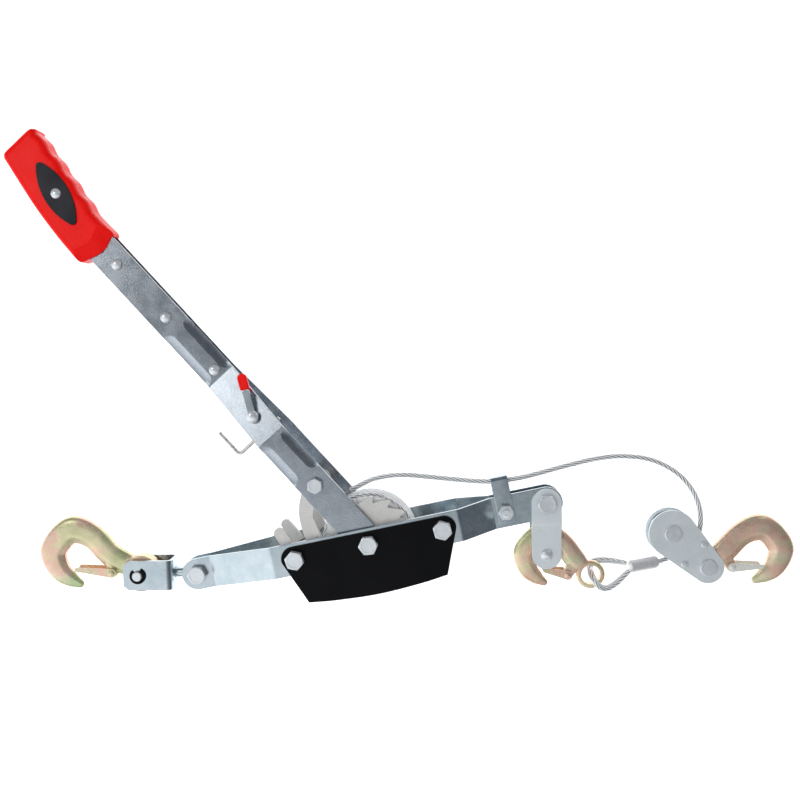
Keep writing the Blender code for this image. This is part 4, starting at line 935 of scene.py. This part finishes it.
def build_block():
    at = [polar(32.0, 24.8), polar(32.0, -24.8)]
    plan = [hull_of_circles((0, 0), BLOCK_BIG_R, (BLOCK_LENGTH, 0), BLOCK_SMALL_R), circle(5.3),
            circle(5.3, (BLOCK_LENGTH, 0))] + [circle(2.85, p) for p in at]
    plate = bevelled(prism(plan, BLOCK_INNER_Z, BLOCK_INNER_Z + BLOCK_THICKNESS), 0.5, 3, 38)
    show_pair(plate, "block_plate", PALE_ZINC, "block", BLOCK_AT)
    outside = BLOCK_INNER_Z + BLOCK_THICKNESS + CLEARANCE
    show(flat_pin(4.9, outside, 8.2, 2.1), "sheave_axle", BOLT_STEEL, "block", BLOCK_AT)
    show(flat_pin(4.9, outside, 8.2, 2.1), "block_hook_pin", BOLT_STEEL, "block",
         BLOCK_AT @ Matrix.Translation((BLOCK_LENGTH * MM, 0, 0)))
    for i, (x, y) in enumerate(at, 1):
        show(flat_pin(2.5, outside, 3.4, 1.2), f"block_rivet_{i}", BOLT_STEEL, "block",
             BLOCK_AT @ Matrix.Translation((x * MM, y * MM, 0)))
    groove = [(SHEAVE_R - 1.0 - 3.6 * math.cos(math.radians(a)), 3.6 * math.sin(math.radians(a)))
              for a in range(75, -76, -15)]
    wheel = [(SHEAVE_R - 0.3, 6.0), (SHEAVE_R, 5.7), (SHEAVE_R, 4.6)] + groove
    wheel += [(SHEAVE_R, -4.6), (SHEAVE_R, -5.7), (SHEAVE_R - 0.3, -6.0), (5.3, -6.0), (5.3, 6.0)]
    show(turned(wheel, 96), "sheave", ZINC, "sheave", BLOCK_AT)
    eye = polar(BLOCK_LENGTH, BLOCK_DEG, SHEAVE_AT)
    latch_at = (23.2, -6.4)
    show(forged_hook(48.2, 0.97, 12.4, 5.9, 4.6, latch_at, mirror=True), "load_hook", FORGED, "load_hook",
         place(*eye, BLOCK_Z, LOAD_HOOK_DEG))
    show(hook_latch(28.5, mirror=True), "load_latch", PALE_LATCH, "load_latch",
         latch_place(eye, BLOCK_Z, LOAD_HOOK_DEG, latch_at, -12.0))


# ---------------------------------------------------------------- handle

def handle_plate():
    """Wide yoke, bend and narrow shank; shallow flutes are pressed in along both edges."""
    plan = (arc((0, 0), HANDLE_HALF_WIDTH, 90, 270, 33)
            + [(TANG_START, -HANDLE_HALF_WIDTH), (TANG_START, -TANG_HALF_WIDTH), (TANG_END, -TANG_HALF_WIDTH),
               (TANG_END, TANG_HALF_WIDTH), (TANG_START, TANG_HALF_WIDTH), (TANG_START, HANDLE_HALF_WIDTH)])
    holes = [circle(5.5), circle(4.4, (DRIVE_PAWL_AT, 0)), circle(3.35, (LEVER_AT, 0)),
             circle(3.35, GRIP_RIVET_AT)] + [circle(3.35, (x, 0)) for x in SHANK_RIVETS_AT]
    path = [(-HANDLE_HALF_WIDTH - 2, YOKE_INNER_Z), (YOKE_BEND[0], YOKE_INNER_Z),
            (YOKE_BEND[1], SHANK_INNER_Z), (TANG_END + 2, SHANK_INNER_Z)]
    plate = bent_plate(path, HANDLE_THICKNESS, HANDLE_HALF_WIDTH, [plan] + holes, 6.0, 0.4)
    flutes = []
    for start, end, floor in ((219.0, 264.0, SHANK_INNER_Z), (94.0, 124.0, YOKE_INNER_Z)):
        for side in (-1, 1):
            flutes.append(flute(start, end, side * HANDLE_HALF_WIDTH, floor + HANDLE_THICKNESS))
    return boolean(plate, flutes, "DIFFERENCE")


def flute(start, end, across, top, radius=22.0, depth=1.9):
    """A long round-ended roller that presses a shallow hollow along a plate's edge."""
    quarter = [math.radians(7.5 * i) for i in range(13)]
    upper = [(radius * math.sin(t), (end - start) / 2 + radius * math.cos(t)) for t in quarter]
    roller = turned(upper + [(r, -z) for r, z in reversed(upper)], 96)
    roller.data.transform(Matrix.Rotation(math.pi / 2, 4, "Y"))
    return moved(roller, (start + end) / 2, across, top + radius - depth)


def grip_outline():
    """The grip from above: blunt rounded end, straight back and a scalloped finger side."""
    first, slope, depth, per = 402.0, -0.135, 1.9, 14
    fingers = []
    for i in range(4 * per + 1):
        x = first + 22.6 * i / per
        wave = math.sin(math.pi * i / per) ** 2 * depth
        fingers.append((x, -17.6 + slope * (x - first) - wave))
    end = arc((492.0, -25.0), 6.8, -80, 0, 9) + arc((493.2, 4.0), 6.0, 0, 78, 9)
    back = [tuple(p[:2]) for p in smooth_path([(490.0, 10.6, 0), (470.0, 14.6, 0), (441.0, 19.8, 0),
                                               (410.0, 23.2, 0), (384.0, 24.6, 0)], 4.0)][1:]
    corner = arc((380.0, 19.6), 5.0, 85, 150, 6)
    mouth = [tuple(p[:2]) for p in smooth_path([(373.4, 15.0, 0), (370.2, 3.0, 0), (371.0, -8.0, 0),
                                                (374.0, -17.2, 0)], 2.5)]
    lower = [(377.6, -18.4), (386.0, -17.9), (394.0, -17.6)]
    return mouth + lower + fingers + end + back + corner


def grip():
    """The moulded grip: rounded edges, a facetted mouth, and the slot and hole that the handle needs."""
    body = remeshed(inset_prism(grip_outline(), -GRIP_HALF, GRIP_HALF, 6.2, 8), 0.8, 30)
    body = boolean(body, [mouth_facet(side, turn) for side in (-1, 1) for turn in (-16, 20)], "DIFFERENCE")
    shank_z = SHANK_INNER_Z + HANDLE_THICKNESS + 0.4
    wide, narrow, mouth = HANDLE_HALF_WIDTH + 0.4, TANG_HALF_WIDTH + 0.4, TANG_START + 0.5
    slot = [(360, -wide), (mouth, -wide), (mouth, -narrow), (TANG_END + 0.5, -narrow),
            (TANG_END + 0.5, narrow), (mouth, narrow), (mouth, wide), (360, wide)]
    rivet_hole = cylinder(3.4, -30, 30, GRIP_RIVET_AT)
    return boolean(body, [prism([slot], -shank_z, shank_z), rivet_hole], "DIFFERENCE")


def mouth_facet(side, turn_deg, slope_deg=24.0):
    """A block whose face slopes down to the grip's mouth, to cut one facet of its lower end."""
    block = prism([[(-60, -60), (0, -60), (0, 60), (-60, 60)]], 0, 30)
    block.data.transform(Matrix.Rotation(math.radians(-slope_deg), 4, "Y"))
    moved(block, 383.5, 3.0, GRIP_HALF, turn_deg)
    if side < 0:
        block.data.transform(Matrix.Scale(-1, 4, (0, 0, 1)))
        block.data.flip_normals()
    return block


def grip_inlay():
    """A long almond-shaped panel with rounded tips."""
    bulge, centre_y, lean = 58.0, 45.9, 32.4
    tip_r = (bulge * math.cos(math.radians(lean)) - centre_y) / math.cos(math.radians(lean))
    tip_x = (bulge - tip_r) * math.sin(math.radians(lean))
    sides = (arc((0, centre_y), bulge, 270 - lean, 270 + lean, 40)
             + arc((tip_x, 0), tip_r, lean - 85, 85 - lean, 12)
             + arc((0, -centre_y), bulge, 90 - lean, 90 + lean, 40)
             + arc((-tip_x, 0), tip_r, 95 + lean, 265 - lean, 12))
    panel = bevelled(prism([sides, circle(5.0)], GRIP_HALF + CLEARANCE, GRIP_HALF + 1.5), 0.5, 3, 38)
    return moved(panel, *GRIP_RIVET_AT, turn_deg=-12.5)


def build_handle():
    show_pair(handle_plate(), "handle_plate", HANDLE_ZINC, "handle", HANDLE_AT, 25)
    show(grip(), "grip", RED_PLASTIC, "handle", HANDLE_AT, 40)
    show_pair(grip_inlay(), "grip_inlay", BLACK_PLASTIC, "handle", HANDLE_AT)

    def along(x, y=0.0):
        return HANDLE_AT @ Matrix.Translation((x * MM, y * MM, 0))

    shank = SHANK_INNER_Z + HANDLE_THICKNESS + CLEARANCE
    for i, x in enumerate(SHANK_RIVETS_AT, 1):
        rivet = dome_rivet(3.0, -shank, shank, 5.2, 2.6, 0.25)
        show(rivet, f"handle_rivet_{i}", BOLT_STEEL, "handle", along(x))
    top = GRIP_HALF + 1.5 + CLEARANCE
    show(dome_rivet(3.0, -top, top, 4.8, 2.2, 0.2), "grip_rivet", BOLT_STEEL, "handle", along(*GRIP_RIVET_AT))
    yoke = YOKE_INNER_Z + HANDLE_THICKNESS + CLEARANCE
    show(dome_rivet(3.0, -22.0, LEVER_Z[1] + CLEARANCE, 5.75, 2.6, 0.3), "lever_rivet", BOLT_STEEL, "handle",
         along(LEVER_AT))
    show(bolt(4.0, 13.0, -yoke, yoke, 5.3, 5.3, turn_deg=-10), "drive_pawl_bolt", BOLT_STEEL, "handle",
         along(DRIVE_PAWL_AT))
    show(coil(9.9, 0.8, 5, 2.4, (150.0, 0.0), 10.0), "drive_pawl_spring", SPRING_STEEL, "handle",
         along(DRIVE_PAWL_AT))
    show(drive_pawl(), "drive_pawl", CAST, "drive_pawl", along(DRIVE_PAWL_AT))
    bar = prism([[(-7, -6), (7, -6), (7, 6), (-7, 6)]], -19.0, 19.0)
    hole = cylinder(2.5, -20, 20)
    hole.data.transform(Matrix.Rotation(math.pi / 2, 4, "X"))
    show(bevelled(boolean(bar, [hole], "DIFFERENCE"), 0.6, 2, 38), "rod_guide", ZINC, "handle", along(ROD_AT))
    build_lever()
    build_release_rod()


def build_lever():
    at = place(*polar(LEVER_AT, HANDLE_DEG), 0, HANDLE_DEG + LEVER_TURN)
    low, high = LEVER_Z
    near, end = LEVER_REACH - 9, LEVER_REACH + 5
    outline = ([(near, -3.25), (near, -2), (end, -2), (end, 2), (near, 2), (near, 3.25), (14, 3.25),
                (10, 3.4)] + arc((0, 0), 5.4, 40, 320, 36) + [(10, -3.4), (14, -3.25)])
    show(bevelled(prism([outline, circle(3.4)], low + 0.2, high), 0.3, 2, 38), "direction_lever", ZINC,
         "direction_lever", at)
    block = prism([[(LEVER_REACH - 8, 4.4), (LEVER_REACH - 8, -4.4)]
                   + arc((LEVER_REACH + 3.1, 0), 4.4, -90, 90, 17)], low - 1.6, high + 1.8)
    hollow = [(near - 3, -2.4), (end + 0.4, -2.4), (end + 0.4, 2.4), (near - 3, 2.4)]
    pocket = prism([hollow], low, high + 0.2)
    show(boolean(bevelled(block, 1.3, 4, 38), [pocket], "DIFFERENCE"), "lever_cap", RED_PLASTIC,
         "direction_lever", at)


def build_release_rod():
    reach, arm, fold = 39.5, 28.5, 4.0
    elbow = [(fold - reach - fold * math.sin(a), fold - fold * math.cos(a), 0.0)
             for a in [math.radians(9 * i) for i in range(11)]]
    points = [(13.0, 0.0, 0.0), (12.6, 0.0, 0.0), (0.0, 0.0, 0.0)] + elbow + [(-reach, arm, 0.0)]
    show(bevelled(tube(points, 2.0, 28), 0.35, 2, 60), "release_rod", ROD_STEEL, "release_rod",
         place(*polar(ROD_AT, HANDLE_DEG), 0, HANDLE_DEG - 90))


# ---------------------------------------------------------------- rope

def strand_section(radius, twist, sides):
    """The outline of a rope of round strands, its corners turning with the strands."""
    inner, strand = radius * 2 / 3, radius / 3
    section = []
    for k in range(sides):
        off = 2 * math.pi * (k % (sides // STRANDS) / sides - 0.5 / STRANDS)
        bulge = inner * math.cos(off) + math.sqrt(max(0.0, strand ** 2 - (inner * math.sin(off)) ** 2))
        reach = max(radius * 0.62, bulge)
        angle = twist + 2 * math.pi * k / sides
        section.append((reach * math.cos(angle), reach * math.sin(angle)))
    return section


def rope(path, radius, step, sides=36):
    """A stranded rope along a path."""
    points = evened(path, step)
    sections = [strand_section(radius, 2 * math.pi * i * step / ROPE_LAY, sides) for i in range(len(points))]
    return swept(points, sections)


def winding():
    """The rope's outer layer on the drum, over a plain core of buried turns."""
    centre, pitch = WINDING_R - ROPE_R, 5.2
    half = WINDING_Z - ROPE_R - 0.3
    turns = 2 * half / pitch
    count = round(turns * 90)
    path = []
    for i in range(count + 1):
        angle = -2 * math.pi * turns * i / count + math.radians(60)
        path.append((centre * math.cos(angle), centre * math.sin(angle), half - 2 * half * i / count))
    core_top, core_r = WINDING_Z - 1.2, centre - 0.6
    inner_r = CORE_R + 0.4
    core = turned([(core_r, core_top), (core_r, -core_top), (inner_r, -core_top), (inner_r, core_top)])
    coils = rope(path, ROPE_R, 1.2, 24)
    return joined([core, coils])


def joined(objects):
    """Several closed skins as one piece."""
    bm = bmesh.new()
    for obj in objects:
        bm.from_mesh(obj.data)
    mesh = bpy.data.meshes.new("joined")
    bm.to_mesh(mesh)
    bm.free()
    for obj in objects:
        bpy.data.objects.remove(obj, do_unlink=True)
    return new_object("joined", mesh)


def build_cable():
    """The free rope, the wound rope, the rope's eye and the ferrule that closes it."""
    path = smooth_path(CABLE_ROUTE, 2.0)
    line = [Vector((x * MM, y * MM, (z + MID_Z) * MM)) for x, y, z in path]
    cable = show(rope(path, ROPE_R, 0.9), "cable", ROPE_STEEL, None, ROOT_AT, 24)
    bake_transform(cable)
    [tuple(p) for p in evened(line, 0.01)]
    show(winding(), "cable_winding", ROPE_STEEL, "drum", ROOT_AT, 24)
    show(thimble(), "thimble", ROPE_STEEL, "cable_hook", ROOT_AT, 24)
    show(ferrule(), "ferrule", FERRULE_METAL, "cable_hook", ROOT_AT, 50)


def thimble():
    """The rope's eye, bent round a smooth steel channel that lies inside the loop."""
    path = [Vector(p) for p in smooth_path(THIMBLE_ROUTE, 1.5)]
    middle = sum(path, Vector()) / len(path)
    outer = [tuple(p + (p - middle).normalized() * 0.7) for p in path]
    inner = [tuple(p + (middle - p).normalized() * 1.5) for p in path]
    return joined([rope(outer, ROPE_R, 0.9), tube(inner, 1.9, 20)])


# ---------------------------------------------------------------- stage, light and camera

def area_light(name, at, size, watts, aim=(0.03, 0.12, 0.04), mirrored=True):
    """A white softbox; where mirrored is false, glossy metal doesn't reflect it."""
    light = bpy.data.lights.new(name, "AREA")
    light.shape = "RECTANGLE"
    light.size, light.size_y = size
    light.energy = watts
    obj = bpy.data.objects.new(name, light)
    bpy.context.scene.collection.objects.link(obj)
    obj.visible_glossy = mirrored
    obj.location = at
    obj.rotation_euler = (Vector(aim) - Vector(at)).to_track_quat("-Z", "Y").to_euler()
    return obj


def build_stage():
    """White paper under and behind the winch."""
    mesh = bpy.data.meshes.new("floor")
    bm = bmesh.new()
    bmesh.ops.create_grid(bm, x_segments=1, y_segments=1, size=4.0)
    bm.to_mesh(mesh)
    bm.free()
    floor = new_object("floor", mesh)
    paper, shader = shader_material("paper", 0.0, 0.9)
    shader.inputs["Base Color"].default_value = (0.93, 0.93, 0.93, 1.0)
    shader.inputs["Specular IOR Level"].default_value = 0.0
    shader.inputs["Emission Color"].default_value = (1.0, 1.0, 1.0, 1.0)
    shader.inputs["Emission Strength"].default_value = 0.8
    mesh.materials.append(paper)


def build_sky():
    """A studio's surroundings: bright to the left, mid grey overhead, and dark to the right and in front."""
    world = bpy.data.worlds.new("studio")
    bpy.context.scene.world = world
    world.use_nodes = True
    tree = world.node_tree
    heading = tree.nodes.new("ShaderNodeTexCoord")
    side = tree.nodes.new("ShaderNodeVectorMath")
    side.operation = "DOT_PRODUCT"
    side.inputs[1].default_value = (-0.6, -0.8, 0.0)
    tree.links.new(heading.outputs["Generated"], side.inputs[0])
    parts = tree.nodes.new("ShaderNodeSeparateXYZ")
    tree.links.new(heading.outputs["Generated"], parts.inputs["Vector"])
    tone = ramp(tree, spread(tree, side.outputs["Value"], 0.0, 1.0, -0.5, 0.7),
                ((0.0, (0.15, 0.16, 0.18)), (0.30, (0.10, 0.11, 0.13)), (0.46, (0.20, 0.21, 0.23)),
                 (0.58, (0.44, 0.46, 0.48)), (0.70, (0.90, 0.93, 0.97)), (1.0, (1.2, 1.24, 1.28))))
    near_side = spread(tree, parts.outputs["Y"], 0.35, 1.0, -0.75, -0.42)
    background = tree.nodes["Background"]
    tree.links.new(tone, background.inputs["Color"])
    tree.links.new(near_side, background.inputs["Strength"])


def build_camera():
    """A short lens almost straight above the winch."""
    camera = bpy.data.cameras.new("camera")
    camera.lens = 39.2
    camera.sensor_width = 36.0
    camera.clip_start = 0.01
    obj = bpy.data.objects.new("camera", camera)
    bpy.context.scene.collection.objects.link(obj)
    obj.matrix_world = (Matrix.Translation((0.1010, 0.1772, 0.8637))
                        @ Matrix.Rotation(math.radians(-12.036), 4, "Z")
                        @ Matrix.Rotation(math.radians(-4.340), 4, "X")
                        @ Matrix.Rotation(math.radians(2.318), 4, "Y"))
    scene = bpy.context.scene
    scene.camera = obj
    scene.view_settings.view_transform = "Standard"


build_stage()
build_sky()
area_light("key", (-0.86, 0.78, 1.22), (0.5, 0.5), 1.9, aim=(-0.09, 0.15, 0.06))
area_light("side", (1.35, 0.9, 0.9), (0.5, 0.7), 0.9)
area_light("overhead", (-0.2, 0.4, 1.6), (1.6, 1.6), 14.0, mirrored=False)
build_camera()
build_cable()
build_frame()
build_drum()
build_handle()
build_anchor_end()
build_link()
build_block()

for node in ("drum_core", "drum_bush"):
    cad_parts[node].data.materials.clear()
    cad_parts[node].data.materials.append(CAST)
